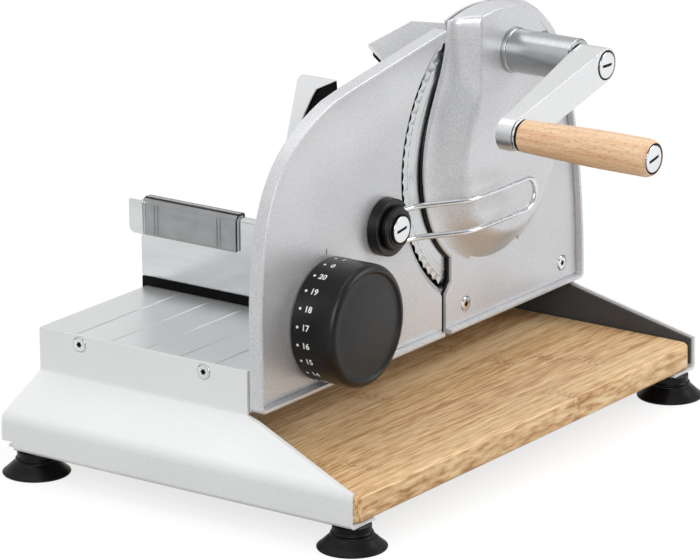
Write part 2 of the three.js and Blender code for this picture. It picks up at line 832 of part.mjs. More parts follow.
// Stop plate with its guide rods, and the rod that drives it from the dial
function buildStopPlate() {
  const outline = [
    ...stopEdge(0),
    [stopWidth, bladeZ],
    [stopLowWidth, bladeZ],
    [stopLowWidth, platesBottomZ],
  ];
  const recessEdge = stopEdge(rimWidth);
  recessEdge[0][1] = platesBottomZ + rimWidth;
  const beyond = stopWidth + 10;
  const slope = (recessEdge.at(-1)[1] - recessEdge.at(-2)[1]) / (recessEdge.at(-1)[0] - recessEdge.at(-2)[0]);
  recessEdge.push([beyond, recessEdge.at(-1)[1] + slope * (beyond - recessEdge.at(-1)[0])]);
  recessEdge.push([beyond, platesBottomZ + rimWidth]);
  const bladeRoom = turnY(
    [
      [0, rimFrontY - 1],
      [bladeRadius + bladeGap + stopBevel, rimFrontY - 1],
      [bladeRadius + bladeGap + stopBevel, faceY],
      [bladeRadius + bladeGap, stopRearY - 0.4],
      [bladeRadius + bladeGap, stopRearY + 1],
      [0, stopRearY + 1],
    ],
    bladeX,
    bladeZ,
    96,
  );
  const rodSink = 2.4;
  const plate = cut(
    extrudeY(outline, rimFrontY, stopRearY),
    extrudeY(recessEdge, rimFrontY - 1, faceY),
    box(stopLowWidth - stopRimEnd, beyond, rimFrontY - 1, faceY, platesBottomZ - 1, bladeZ),
    bladeRoom,
    ...guideRodX.map((x) => rodY(guideRodRadius + running, x, guideRodZ, stopRearY - rodSink, stopRearY + 1, 24)),
    rodY(followerRodRadius + running + 0.2, dialX, followerZ, faceY - 1, stopRearY + 1, 24),
    rodY(dialPivotRadius + running, dialX, dialZ, faceY - 1, stopRearY + 1, 24),
    rodY(dialHubRadius, dialX, dialZ, stopRearY - 1.3, stopRearY + 1, 28),
    rodY(3, knobX, knobZ, faceY - 1, stopRearY + 1, 20),
  );
  addNode("stop_plate", plate, castSilver);

  guideRodX.forEach((x, i) => {
    const y0 = stopRearY - rodSink + seat;
    const chamfer = 0.8;
    const rod = turnY(
      [
        [0, y0],
        [guideRodRadius, y0],
        [guideRodRadius, y0 + guideRodLength - chamfer],
        [guideRodRadius - chamfer, y0 + guideRodLength],
        [0, y0 + guideRodLength],
      ],
      x,
      guideRodZ,
      24,
    );
    addNode(`guide_rod_${i ? "right" : "left"}`, rod, steel);
  });

  const rodEndY = skirtY + tableSheet + 6;
  const rodTipY = followerY - followerPinRadius - 0.6;
  const pin = rodZ(followerPinRadius, dialX, followerY, dialZ - followerReach, followerZ, 12);
  const collar = rodY(followerRodRadius + 2, dialX, followerZ, skirtY + tableSheet + seat, rodEndY, 24);
  const rod = rodY(followerRodRadius, dialX, followerZ, rodTipY, rodEndY, 24);
  addNode("dial_follower", join(rod, pin, collar), steel);
}

// Dial with its inner groove, on a pivot in the stop plate
function buildDial() {
  const inner = dialRadius - dialWall;
  const hubBoreY = camFrontY + 1;
  const hubRearY = dialBackY;
  const edgeRound = arc(dialRadius - dialEdge, dialFrontY + dialEdge, dialEdge, -Math.PI / 2, 0, 4);
  const bore = dialPivotRadius + running;
  const front = dialFrontY;
  const profile = [
    [0, front + dialDish],
    [dialRadius * 0.7, front + dialDish * 0.6],
    ...edgeRound,
    [dialRadius, dialBackY],
    [inner, dialBackY],
    [inner, camFrontY - seat],
    [dialHubRadius, camFrontY - seat],
    [dialHubRadius, hubRearY],
    [bore, hubRearY],
    [bore, hubBoreY],
    [0, hubBoreY],
  ];
  addNode("dial", turnY(profile, dialX, dialZ, 36), matteBlack);

  const sleeve = turnY(
    [
      [camInner, camFrontY],
      [camOuter, camFrontY],
      [camOuter, camRearY],
      [camInner, camRearY],
      [camInner, camFrontY],
    ],
    dialX,
    dialZ,
    30,
  );
  const shift = followerPinRadius + followerPlay + camRib / 2;
  addNode("dial_cam", join(sleeve, camWallRib(-shift), camWallRib(shift)), gearPlastic);

  const headSink = 1.3;
  const pivot = turnY(
    [
      [0, hubBoreY + 0.6],
      [dialPivotRadius, hubBoreY + 0.6],
      [dialPivotRadius, stopRearY - headSink + seat],
      [dialHubRadius - seat, stopRearY - headSink + seat],
      [dialHubRadius - seat, stopRearY],
      [0, stopRearY],
    ],
    dialX,
    dialZ,
    32,
  );
  addNode("dial_pivot", pivot, steel);
}

// Gear block's outline: straight sides up to a rounded crown
function blockOutline(left, right, radius) {
  const cx = bladeX + crownX;
  const cz = bladeZ + crownZ;
  const from = Math.acos((bladeX + right - cx) / radius);
  const to = Math.acos((bladeX - left - cx) / radius);
  return [[bladeX - left, bladeZ], [bladeX + right, bladeZ], ...arc(cx, cz, radius, from, to, 12)];
}

// Shell's outline: straight bottom and right side, and a long curve up to the gear block
function housingOutline(inset, leftX) {
  const right = bladeX + housingRadius - inset;
  const bottom = platesBottomZ + inset;
  const crown = new THREE.CubicBezierCurve(
    new THREE.Vector2(right, bladeZ - 10),
    new THREE.Vector2(right, bladeZ + 30),
    new THREE.Vector2(bladeX + 53.5 - 0.6 * inset, bladeZ + 69.6 - 0.8 * inset),
    new THREE.Vector2(bladeX + 27.1 - 0.4 * inset, bladeZ + 80.6 - 0.9 * inset),
  );
  const corner = arc(right - housingCorner, bottom + housingCorner, housingCorner, -Math.PI / 2, 0, 4);
  const waist = [
    [leftX + housingWaistX - housingLeftX, housingWaistZ[1]],
    [leftX, housingWaistZ[0]],
  ];
  return [
    [leftX, bottom],
    ...corner,
    ...crown.getPoints(14).map((point) => [point.x, point.y]),
    [bladeX, bladeZ],
    [leftX + housingWaistX - housingLeftX, bladeZ - 48],
    ...waist,
  ];
}

// Rear plate's outline: a round upper right about the blade
function rearOutline() {
  const right = bladeX + housingRadius;
  const corner = arc(right - housingCorner, platesBottomZ + housingCorner, housingCorner, -Math.PI / 2, 0, 4);
  const crown = arc(bladeX, bladeZ, housingRadius, 0, (100 * Math.PI) / 180, 20);
  return [[housingLeftX, platesBottomZ], ...corner, ...crown, [bladeX, bladeZ], [housingLeftX, bladeZ - 48]];
}

// Cone about the blade's axis whose wall has the same slope as the dome's
function domeCone(inset, frontY, rearY) {
  const slope = (domeFaceRadius - domeFrontRadius) / (housingFaceY - domeFrontY);
  const radiusAt = (y) => domeFrontRadius + slope * (y - domeFrontY) - inset * Math.hypot(1, slope);
  return turnY([[0, frontY], [radiusAt(frontY), frontY], [radiusAt(rearY), rearY], [0, rearY]], bladeX, bladeZ, 48);
}

function buildHousing() {
  const plate = cut(
    extrudeY(housingOutline(0, housingLeftX), rimFrontY, housingRearY),
    extrudeY(housingOutline(rimWidth, housingLeftX - 10), rimFrontY - 1, housingFaceY),
  );
  const lip = rodY(domeLipRadius, bladeX, bladeZ, housingFaceY, housingRearY, 56);
  const block = loftY(
    blockOutline(blockLeft, blockRight, crownRadius),
    domeFrontY,
    blockOutline(blockLeft + blockDraft, blockRight + blockDraft, crownRadius),
    housingRearY,
  );
  const wall = housingWall;
  const roomDraft = (blockDraft * (housingRearY + 1 - domeFrontY - wall)) / (housingRearY - domeFrontY);
  const blockRoom = loftY(
    blockOutline(blockLeft - wall, blockRight - wall, crownRadius - wall),
    domeFrontY + wall,
    blockOutline(blockLeft - wall + roomDraft, blockRight - wall + roomDraft, crownRadius - wall),
    housingRearY + 1,
  );
  const bossRadius = axleRadius + 4;
  const outside = join(plate, lip, block, domeCone(0, domeFrontY, housingRearY));
  const hollow = cut(outside, blockRoom, domeCone(wall, domeFrontY + wall, housingRearY + 1));
  const boss = rodY(bossRadius, bladeX, bladeZ, domeFrontY + wall - weld, gearFrontY - seat, 32);
  const screwBores = (y0, y1) =>
    housingScrewX.map((x) => rodY(screwShankRadius + running, x, housingScrewZ, y0, y1, 12));
  const headRooms = housingScrewX.map((x) =>
    rodY(screwHeadRadius + running, x, housingScrewZ, housingFaceY - 1, housingFaceY + screwSink + seat, 16),
  );
  addNode(
    "housing_shell",
    cut(
      join(hollow, boss),
      rodY(axleRadius + running, bladeX, bladeZ, domeFrontY + 1, gearFrontY, 32),
      rodY(sleeveSpigot + running, crankX, crankZ, domeFrontY - 1, domeFrontY + wall + 1, 32),
      ...screwBores(housingFaceY - 1, housingRearY + 1),
      ...headRooms,
    ),
    castSilver,
  );

  const backFrontY = housingRearY + seat;
  const back = join(
    extrudeY(housingOutline(0.6, housingLeftX - backProud), backFrontY, backRearY),
    rodY(domeLipRadius + backProud, bladeX, bladeZ, backFrontY, backRearY, 56),
    extrudeY(
      blockOutline(blockLeft + blockDraft + backProud, blockRight + blockDraft, crownRadius - 1),
      backFrontY,
      backRearY,
    ),
  );
  addNode(
    "housing_back",
    cut(
      back,
      rodY(hubRadius + 1, bladeX, bladeZ, backFrontY - 1, backRearY + 1, 40),
      ...screwBores(backFrontY - 1, backRearY + 1),
    ),
    matteBlack,
  );

  const rearFrontY = backRearY + seat;
  const rearY = skirtY - seat;
  addNode(
    "rear_plate",
    cut(
      join(
        extrudeY(rearOutline(), rearFrontY, rearY),
        extrudeY(blockOutline(blockLeft + blockDraft, blockRight + blockDraft, crownRadius), rearFrontY, rearY),
      ),
      rodY(bladeRadius + bladeGap, bladeX, bladeZ, rearFrontY - 1, rearY + 1, 96),
      ...screwBores(rearFrontY - 1, rearY + 1),
    ),
    castSilver,
  );

  housingScrewX.forEach((x, i) => {
    const screw = lobedScrew(housingFaceY - screwHeadThickness + screwSink, housingScrewLength);
    addNode(`housing_screw_${i ? "right" : "left"}`, screw.translate([x, 0, housingScrewZ]), polished);
  });
}

// Involute gear outline about a point, with one tooth centred on the angle phase
function gearOutline(x, z, teeth, phase) {
  const pitch = (teeth * gearModule) / 2;
  const base = pitch * Math.cos(gearPressureAngle);
  const tip = pitch + 0.9 * gearModule;
  const root = pitch - 1.2 * gearModule;
  const involute = (angle) => Math.tan(angle) - angle;
  const half = Math.PI / (2 * teeth) - gearBacklash / (2 * pitch) + involute(gearPressureAngle);
  const halfAt = (r) => half - involute(Math.acos(Math.min(base / r, 1)));
  const radii = [root, tip];
  const points = [];
  for (let i = 0; i < teeth; i += 1) {
    const middle = phase + (2 * Math.PI * i) / teeth;
    const flank = (side, r) => {
      const angle = middle + side * halfAt(r);
      points.push([x + r * Math.cos(angle), z + r * Math.sin(angle)]);
    };
    radii.forEach((r) => flank(-1, r));
    [...radii].reverse().forEach((r) => flank(1, r));
  }
  return points;
}

// Blade with a wavy edge, its gear, axle and central screw
function buildBlade() {
  const rimPoints = [];
  const perWave = 2;
  for (let i = 0; i < bladeWaves * perWave; i += 1) {
    const angle = (2 * Math.PI * i) / (bladeWaves * perWave);
    const radius = i % perWave ? bladeRadius : bladeRadius - bladeWaveDepth;
    rimPoints.push([bladeX + radius * Math.cos(angle), bladeZ + radius * Math.sin(angle)]);
  }
  const disc = extrudeY(rimPoints, bladeFrontY, bladeRearY);
  const ground = turnY(
    [
      [bladeRadius - bladeBevel, bladeFrontY],
      [bladeRadius - bladeBevel, bladeFrontY - 1],
      [bladeRadius + 2, bladeFrontY - 1],
      [bladeRadius + 2, bladeFrontY + bladeBevelDepth * 1.2],
      [bladeRadius - bladeBevel, bladeFrontY],
    ],
    bladeX,
    bladeZ,
    96,
  );
  const hole = rodY(bladeHoleRadius, bladeX, bladeZ, bladeFrontY - 1, bladeRearY + 1, 40);
  addNode("blade", cut(disc, ground, hole), polished);

  const bore = axleRadius + running;
  const hubRearY = bladeFrontY - seat;
  const teeth = extrudeY(
    gearOutline(bladeX, bladeZ, bladeTeeth, Math.PI / 2 + Math.PI / bladeTeeth),
    gearFrontY,
    gearRearY,
  );
  addNode(
    "blade_gear",
    cut(
      join(
        teeth,
        rodY(hubRadius, bladeX, bladeZ, gearRearY - weld, hubRearY, 40),
        rodY(bladeHoleRadius - seat, bladeX, bladeZ, hubRearY - weld, bladeRearY, 40),
      ),
      rodY(bore, bladeX, bladeZ, gearFrontY - 1, bladeRearY + 1, 32),
    ),
    gearPlastic,
  );

  const axleRearY = gearRearY - 2;
  addNode("blade_axle", rodY(axleRadius, bladeX, bladeZ, domeFrontY + 1 + seat, axleRearY, 32), steel);

  const headY = bladeRearY + seat;
  const headRearY = headY + coinScrewThickness;
  const slotReach = coinScrewRadius * 0.7;
  const slotHalf = slotWidth * 0.7;
  const coinSlot = box(
    bladeX - slotReach,
    bladeX + slotReach,
    headRearY - 1,
    headRearY + 1,
    bladeZ - slotHalf,
    bladeZ + slotHalf,
  );
  const screw = turnY(
    [
      [0, axleRearY + seat],
      [axleRadius, axleRearY + seat],
      [axleRadius, headY],
      [coinScrewRadius, headY],
      [coinScrewRadius, headRearY - 1.2],
      [coinScrewRadius - coinScrewEdge, headRearY],
      [0, headRearY],
    ],
    bladeX,
    bladeZ,
    48,
  );
  addNode("blade_screw", cut(screw, coinSlot), matteBlack);
}

// Crank: shaft with its gear, sleeve, arm and wooden handle
function buildCrank() {
  const shaftFrontY = armFrontY + capThickness + 3;
  const shaftRearY = gearRearY + 1.5;
  const stemRadius = 2.5;
  const stemRoom = stemRadius + running;
  const stemLength = 10;
  const shaft = cut(
    rodY(shaftRadius, crankX, crankZ, shaftFrontY, shaftRearY, 32),
    rodY(stemRoom, crankX, crankZ, shaftFrontY - 1, shaftFrontY + stemLength, 20),
  );
  addNode("crank_shaft", shaft, steel);

  const bore = shaftRadius + running;
  const teeth = extrudeY(gearOutline(crankX, crankZ, driveTeeth, -Math.PI / 2), gearFrontY, gearRearY);
  addNode("drive_gear", cut(teeth, rodY(bore, crankX, crankZ, gearFrontY - 1, gearRearY + 1, 32)), steel);

  const sleeveRearY = domeFrontY - seat;
  const sleeveFrontY = armRearY + 1;
  const sleeve = turnY(
    [
      [bore, sleeveFrontY],
      [sleeveRadius - 0.6, sleeveFrontY],
      [sleeveRadius, sleeveFrontY + 0.6],
      [sleeveRadius, sleeveRearY - sleeveFlange],
      [sleeveFlangeRadius, sleeveRearY - sleeveFlange + 0.4],
      [sleeveFlangeRadius, sleeveRearY],
      [sleeveSpigot, sleeveRearY],
      [sleeveSpigot, domeFrontY + housingWall],
      [bore, domeFrontY + housingWall],
      [bore, sleeveFrontY],
    ],
    crankX,
    crankZ,
    36,
  );
  addNode("crank_sleeve", sleeve, satinMetal);

  const across = Math.PI - armAngle;
  const stadium = [
    ...arc(crankX, crankZ, armRadius, across + Math.PI / 2, across + (3 * Math.PI) / 2, 16),
    ...arc(handleX, handleZ, armRadius, across - Math.PI / 2, across + Math.PI / 2, 16),
  ];
  const bar = extrudeY(stadium, armFrontY, armRearY);
  const reach = armLength + armRadius;
  const wedge = new THREE.ExtrudeGeometry(
    shapeOf([
      [armRadius, armFrontY + armDepthShaft],
      [armLength - armRadius, armFrontY + armDepthHandle],
      [reach + 1, armFrontY + armDepthHandle],
      [reach + 1, armRearY + 5],
      [armRadius, armRearY + 5],
    ]),
    { depth: 4 * armRadius, bevelEnabled: false },
  );
  wedge.translate(0, 0, -2 * armRadius);
  wedge.rotateY(-across);
  wedge.translate(crankX, 0, crankZ);
  const capRoom = capThickness - capProud + seat;
  const arm = cut(
    bar,
    solid(wedge),
    rodY(bore, crankX, crankZ, shaftFrontY - seat, armRearY + 1, 32),
    rodY(stemRoom, crankX, crankZ, armFrontY - 1, armRearY, 20),
    rodY(capRadius + 0.5, crankX, crankZ, armFrontY - 1, armFrontY + capRoom, 36),
    rodY(handleAxleRadius + running, handleX, handleZ, armFrontY - 1, armRearY + 1, 24),
  );
  addNode("crank_arm", arm, silverPaint);
  const slotTurn = (35 * Math.PI) / 180;
  addNode(
    "crank_cap",
    slottedCap(0, slotTurn, stemRadius, stemLength).translate([crankX, armFrontY - capProud, crankZ]),
    polished,
  );

  const axleRearY = armFrontY + armDepthHandle;
  const axleFrontY = handleFrontY + capThickness + 2;
  const axle = cut(
    join(
      rodY(handleAxleRadius, handleX, handleZ, axleFrontY, axleRearY, 24),
      rodY(collarRadius, handleX, handleZ, collarFrontY, armFrontY - seat, 40),
    ),
    rodY(stemRoom - 0.5, handleX, handleZ, axleFrontY - 1, axleFrontY + stemLength, 16),
  );
  addNode("handle_axle", axle, polished);

  const grain = handleAxleRadius + running + 0.1;
  const capSeatY = handleFrontY + capRoom;
  const capBore = capRadius + 0.5;
  const grip = turnY(
    [
      [grain, handleRearY],
      [handleInnerRadius - 0.6, handleRearY],
      [handleInnerRadius, handleRearY - 1],
      [handleInnerRadius + 0.9, handleRearY - handleLength * 0.22],
      [handleOuterRadius - 0.5, handleRearY - handleLength * 0.62],
      [handleOuterRadius, handleRearY - handleLength * 0.8],
      [handleOuterRadius, handleFrontY + 6],
      [handleOuterRadius - 0.8, handleFrontY + 2],
      [capBore + 1.4, handleFrontY],
      [capBore, handleFrontY],
      [capBore, capSeatY],
      [grain, capSeatY],
      [grain, handleRearY],
    ],
    handleX,
    handleZ,
    24,
  );
  addNode("handle_grip", grip, beech);
  addNode(
    "handle_cap",
    slottedCap(0, slotTurn, stemRadius - 0.5, stemLength).translate([handleX, handleFrontY - capProud, handleZ]),
    polished,
  );
}

// Slice deflector: a bent wire loop held between a seat and a cap
function buildDeflector() {
  const seatFrontY = faceY - seat - knobSeatThickness;
  const stemRadius = 2.6;
  const stemRoom = stemRadius + running;
  const seatBody = turnY(
    [
      [stemRoom, seatFrontY],
      [knobRadius - 1.5, seatFrontY],
      [knobRadius, seatFrontY + 1],
      [knobRadius, faceY - seat],
      [stemRoom, faceY - seat],
      [stemRoom, seatFrontY],
    ],
    knobX,
    knobZ,
    32,
  );
  addNode("deflector_seat", seatBody, matteBlack);

  const wireY = seatFrontY - seat - wireRadius - 0.2;
  const capRearY = seatFrontY - seat;
  const capFrontY = capRearY - knobCapThickness;
  const half = wireSpread / 2;
  const innerX = -2;
  const bendRadius = 4;
  const route = new THREE.CurvePath();
  const corner = (x, y, z) => new THREE.Vector3(knobX + x, wireY - y, knobZ + z);
  const stops = [
    corner(innerX, 0, half),
    corner(knobCapRadius + 2, 0, half),
    corner(wireKinkX, wireForward, half),
    corner(wireReach - half, wireForward, half),
  ];
  const lower = stops.map((point) => new THREE.Vector3(point.x, point.y, 2 * knobZ - point.z)).reverse();
  const blend = (list) => {
    for (let i = 1; i < list.length; i += 1) {
      const isLast = i === list.length - 1;
      const toNext = list[i].clone().sub(list[i - 1]).normalize();
      const start = i === 1 ? list[0] : list[i - 1].clone().addScaledVector(toNext, bendRadius);
      const end = isLast ? list[i] : list[i].clone().addScaledVector(toNext, -bendRadius);
      route.add(new THREE.LineCurve3(start, end));
      if (!isLast) {
        const turned = list[i + 1].clone().sub(list[i]).normalize();
        const exit = list[i].clone().addScaledVector(turned, bendRadius);
        route.add(new THREE.QuadraticBezierCurve3(end, list[i], exit));
      }
    }
  };
  blend(stops);
  const endX = knobX + wireReach - half;
  for (const side of [1, -1]) {
    const handle = half * 0.5523;
    const top = new THREE.Vector3(endX, wireY - wireForward, knobZ + half);
    const tip = new THREE.Vector3(endX + half, wireY - wireForward, knobZ);
    const bottom = new THREE.Vector3(endX, wireY - wireForward, knobZ - half);
    const [from, to] = side > 0 ? [top, tip] : [tip, bottom];
    const c1 = side > 0 ? new THREE.Vector3(handle, 0, 0).add(from) : new THREE.Vector3(0, 0, -handle).add(from);
    const c2 = side > 0 ? new THREE.Vector3(0, 0, handle).add(to) : new THREE.Vector3(handle, 0, 0).add(to);
    route.add(new THREE.CubicBezierCurve3(from, c1, c2, to));
  }
  blend(lower);
  const sides = 8;
  const section = new THREE.Shape(
    Array.from({ length: sides }, (_, i) => {
      const angle = (2 * Math.PI * i) / sides;
      return new THREE.Vector2(wireRadius * Math.cos(angle), wireRadius * Math.sin(angle));
    }),
  );
  const wire = solid(new THREE.ExtrudeGeometry(section, { steps: 44, extrudePath: route, bevelEnabled: false }));
  addNode("deflector_wire", wire, polished);

  const groove = (side) =>
    box(
      knobX + innerX - 0.6,
      knobX + knobCapRadius + 2,
      wireY - wireRadius - seat,
      capRearY + 1,
      knobZ + side * half - wireRadius - seat,
      knobZ + side * half + wireRadius + seat,
    );
  const cap = turnY(
    [
      [stemRoom, capFrontY + 1.6],
      [capRadius + 0.5, capFrontY + 1.6],
      [capRadius + 0.5, capFrontY],
      [knobCapRadius - 2, capFrontY],
      [knobCapRadius, capFrontY + 1.4],
      [knobCapRadius, capRearY],
      [stemRoom, capRearY],
      [stemRoom, capFrontY + 1.6],
    ],
    knobX,
    knobZ,
    32,
  );
  addNode("deflector_cap", cut(cap, groove(1), groove(-1)), matteBlack);
  const stemLength = stopRearY - capFrontY - capThickness;
  addNode(
    "deflector_screw",
    slottedCap(0, (30 * Math.PI) / 180, stemRadius, stemLength).translate([knobX, capFrontY - 1.5, knobZ]),
    polished,
  );
}

// Carriage: bent plate on a plastic slider, thumb guard and food holder
function buildCarriage() {
  const path = roundedPath([
    [carriageX + carriageFloor, carriageBottomZ],
    [carriageX, carriageBottomZ, 3],
    [carriageX, carriageTopZ, 2.6],
    [carriageX + carriageLip, carriageTopZ],
  ]);
  const sheet = extrudeY(sheetOutline(path.reverse(), carriageSheet), carriageFrontY, carriageRearY);
  const tabEndY = carriageRearY + tabReach;
  const tab = extrudeX(
    roundedPath([
      [carriageRearY - weld, tabBottomZ],
      [tabEndY, tabBottomZ, tabCorner],
      [tabEndY, carriageTopZ - 1.2],
      [carriageRearY - weld, carriageTopZ - 1.2],
    ]),
    carriageX,
    carriageX + carriageSheet,
  );
  addNode("carriage_plate", join(sheet, tab), satinMetal);

  const sliderTopZ = carriageBottomZ - seat;
  const sliderBottomZ = tableTopZ + seat;
  const x0 = carriageX + sliderInset;
  const x1 = carriageX + carriageFloor - 1;
  const y0 = carriageFrontY + 1;
  const y1 = bracketDepth + seat;
  const frame = cut(
    box(x0, x1, y0, y1, sliderBottomZ, sliderTopZ),
    box(x0 + sliderRail, x1 - sliderRail, y0 + sliderRail, y1 - sliderRail, sliderBottomZ - 1, sliderTopZ + 1),
  );
  const lip = box(x0, x1, y1 - weld, y1 + sliderLipThickness, sliderTopZ - sliderLipDrop, sliderTopZ);
  const lipRoom = box(x0 - 1, x1 + 1, y1 - 2 * weld, y1, 0, sliderBottomZ);
  addNode("carriage_slider", join(frame, cut(lip, lipRoom)), matteBlack);

  const guardX = carriageX - 0.6 - guardSheet;
  const guardInnerX = carriageX + carriageLip + 0.6 + guardSheet;
  const guardPath = roundedPath([
    [guardX, guardBottomZ],
    [guardX, guardFoldZ, 2],
    [guardX + 3, guardTopZ, 2],
    [guardInnerX, guardTopZ, 2.2],
    [guardInnerX, guardInnerZ],
  ]);
  addNode("thumb_guard", extrudeY(sheetOutline(guardPath.reverse(), guardSheet), guardFrontY, guardRearY), smokedClear);

  const cheekX = guardInnerX + holderGap;
  const cheekSheet = 1.7;
  const coreX = cheekX + cheekSheet + seat;
  const bottomZ = carriageBottomZ + carriageSheet + seat;
  const front = holderFrontY;
  const topRear = front + holderTopDepth;
  const bottomRear = front + holderBottomDepth;
  const rearAt = (z) => bottomRear + ((topRear - bottomRear) * (z - bottomZ)) / (holderTopZ - bottomZ);
  const coreRear = holderWall + seat;
  const roofTop = (x, y) => roofZ + roofRise * (x - roofLeft) + roofSlope * (y - topRear);
  const roofSection = (y, left, right, drop, thickness) => [
    [left, roofTop(left, y) - drop - thickness],
    [right, roofTop(right, y) - drop - thickness],
    [right, roofTop(right, y) - drop],
    [left, roofTop(left, y) - drop],
  ];
  const roofBody = (left, rearY, drop) => {
    const rearRight = roofRight + ((roofPeakX - roofRight) * (rearY - roofKneeY)) / (topRear - roofKneeY);
    return join(
      loftY(
        roofSection(front, left, roofRight, drop, holderWall),
        front,
        roofSection(roofKneeY, left, roofRight, drop, holderWall),
        roofKneeY,
      ),
      loftY(
        roofSection(roofKneeY, left, roofRight, drop, holderWall),
        roofKneeY,
        roofSection(rearY, left, rearRight, drop, holderWall),
        rearY,
      ),
    );
  };
  const cheek = extrudeX(
    [
      [front, bottomZ],
      [rearAt(bottomZ) - coreRear, bottomZ],
      [rearAt(holderTopZ) - coreRear, holderTopZ - coreDrop],
      [front + holderLean, holderTopZ - coreDrop],
      [front, holderDipZ],
    ],
    coreX,
    coreX + holderWall,
  );
  const press = extrudeY(
    [
      [coreX, bottomZ],
      [holderRight, bottomZ],
      [holderRight, roofTop(holderRight, front) - 1.5 * holderWall],
      [roofLeft + seat, roofTop(roofLeft, front) - 1.5 * holderWall],
      [roofLeft + seat, holderDipZ],
      [coreX, holderDipZ],
    ],
    front,
    front + holderPress,
  );
  const floor = box(coreX, holderRight, front, rearAt(bottomZ) - coreRear - 1, bottomZ, bottomZ + holderWall);
  const ribs = [];
  for (let i = 0; i < holderRibs; i += 1) {
    const z = bottomZ + 8 + (i * (holderDipZ - bottomZ - 16)) / (holderRibs - 1);
    ribs.push(
      extrudeX([[front + weld, z - 2], [front + weld, z + 2], [front - holderRibHeight, z]], coreX + 6, holderRight - 6),
    );
  }
  const coreRoof = roofBody(roofLeft + seat, rearAt(roofZ) - coreRear, holderWall + seat);
  addNode("food_holder_core", join(cheek, press, floor, coreRoof, ...ribs), matteBlack);

  const outerCheek = extrudeX(
    [
      [front + 24.4, bottomZ],
      [rearAt(bottomZ), bottomZ],
      [rearAt(holderTopZ - holderCorner), holderTopZ - holderCorner],
      [rearAt(holderTopZ) - 0.3 * holderCorner, holderTopZ - 0.3 * holderCorner],
      [rearAt(holderTopZ) - holderCorner, holderTopZ],
      [front + 0.3, holderTopZ],
      [front + 14.8, holderTopZ - 7.2],
      [front + 18.4, holderTopZ - 13.2],
      [front + 24.4, holderTopZ - 25],
    ],
    cheekX,
    cheekX + cheekSheet,
  );
  const wallTop = holderTopZ + 12;
  const rearWall = (left, right, z0, z1) =>
    extrudeX(
      [
        [rearAt(z0) - holderWall, z0],
        [rearAt(z0), z0],
        [rearAt(z1), z1],
        [rearAt(z1) - holderWall, z1],
      ],
      left,
      right,
    );
  const aboveRoof = loftY(
    roofSection(front, roofLeft - 1, holderRight + 1, -40, 40 + weld),
    front,
    roofSection(topRear + 1, roofLeft - 1, holderRight + 1, -40, 40 + weld),
    topRear + 1,
  );
  addNode(
    "food_holder_shell",
    join(
      outerCheek,
      rearWall(cheekX, holderRight, bottomZ, holderDipZ),
      cut(rearWall(rearWallLeft, roofPeakX, holderDipZ - weld, wallTop), aboveRoof),
      roofBody(roofLeft, topRear, 0),
    ),
    castSilver,
  );
}

buildBase();
buildTable();
buildStopPlate();
buildDial();
buildHousing();
buildBlade();
buildCrank();
buildDeflector();
buildCarriage();

// Origin: on the floor, in the middle of the footprint
const leftReach = footXs.left - footLipRadius;
const rightReach = footXs.right + footLipRadius;
const frontReach = handleFrontY - capProud;
const rearReach = Math.max(carriageRearY + tabReach, footRearY + footLipRadius);
slicer.position.set(-(leftReach + rightReach) / 2, -(frontReach + rearReach) / 2, -floorZ);
slicer.updateMatrixWorld(true);

export default slicer;
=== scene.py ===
# Hand crank slicer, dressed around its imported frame. Pieces are drawn in millimetres.
import json
import math

import bmesh
import bpy
from mathutils import Matrix, Vector


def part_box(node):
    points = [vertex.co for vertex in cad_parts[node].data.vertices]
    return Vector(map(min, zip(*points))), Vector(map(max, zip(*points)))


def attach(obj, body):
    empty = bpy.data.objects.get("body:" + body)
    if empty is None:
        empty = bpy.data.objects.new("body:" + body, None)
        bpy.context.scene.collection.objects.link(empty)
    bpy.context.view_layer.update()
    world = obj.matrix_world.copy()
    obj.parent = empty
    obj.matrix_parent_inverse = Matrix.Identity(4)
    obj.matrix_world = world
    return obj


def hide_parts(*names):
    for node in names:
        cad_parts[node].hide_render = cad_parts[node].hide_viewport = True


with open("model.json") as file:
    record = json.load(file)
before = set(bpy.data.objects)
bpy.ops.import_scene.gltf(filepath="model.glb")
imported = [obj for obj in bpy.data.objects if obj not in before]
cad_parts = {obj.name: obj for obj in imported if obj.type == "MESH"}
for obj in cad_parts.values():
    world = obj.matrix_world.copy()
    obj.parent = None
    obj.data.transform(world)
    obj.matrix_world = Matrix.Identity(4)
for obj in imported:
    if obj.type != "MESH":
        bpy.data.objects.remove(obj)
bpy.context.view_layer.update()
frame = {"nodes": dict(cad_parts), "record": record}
mm = 0.001
bodyOf = {}
for bodyName, members in frame["record"]["behaviour"]["bodies"].items():
    for member in members:
        bodyOf[member] = bodyName


# Small tools


def boxOf(node):  # lowest and highest corner of a node, in millimetres
    low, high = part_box(node)
    return low / mm, high / mm


def middleOf(node):
    low, high = boxOf(node)
    return (low + high) / 2


def radiusOf(node):
    low, high = boxOf(node)
    return (high.x - low.x) / 2


def camelCase(node):
    words = node.split("_")
    return words[0] + "".join(word.capitalize() for word in words[1:])


def newObject(name, data):
    made = bpy.data.objects.new(name, data)
    bpy.context.scene.collection.objects.link(made)
    return made


def newPiece(name, mesh, weld, flat=0):  # welds corners, dissolves flat edges and turns the faces outwards
    shape = bmesh.new()
    shape.from_mesh(mesh)
    bmesh.ops.remove_doubles(shape, verts=shape.verts, dist=weld * mm)
    if flat:
        flat = math.radians(flat)
        bmesh.ops.dissolve_limit(shape, angle_limit=flat, verts=shape.verts, edges=shape.edges)
    bmesh.ops.recalc_face_normals(shape, faces=shape.faces)
    shape.to_mesh(mesh)
    shape.free()
    return newObject(name, mesh)


def meshFrom(name, corners, faces):
    mesh = bpy.data.meshes.new(name)
    mesh.from_pydata([Vector(corner) * mm for corner in corners], [], faces)
    return newPiece(name, mesh, 0.002)


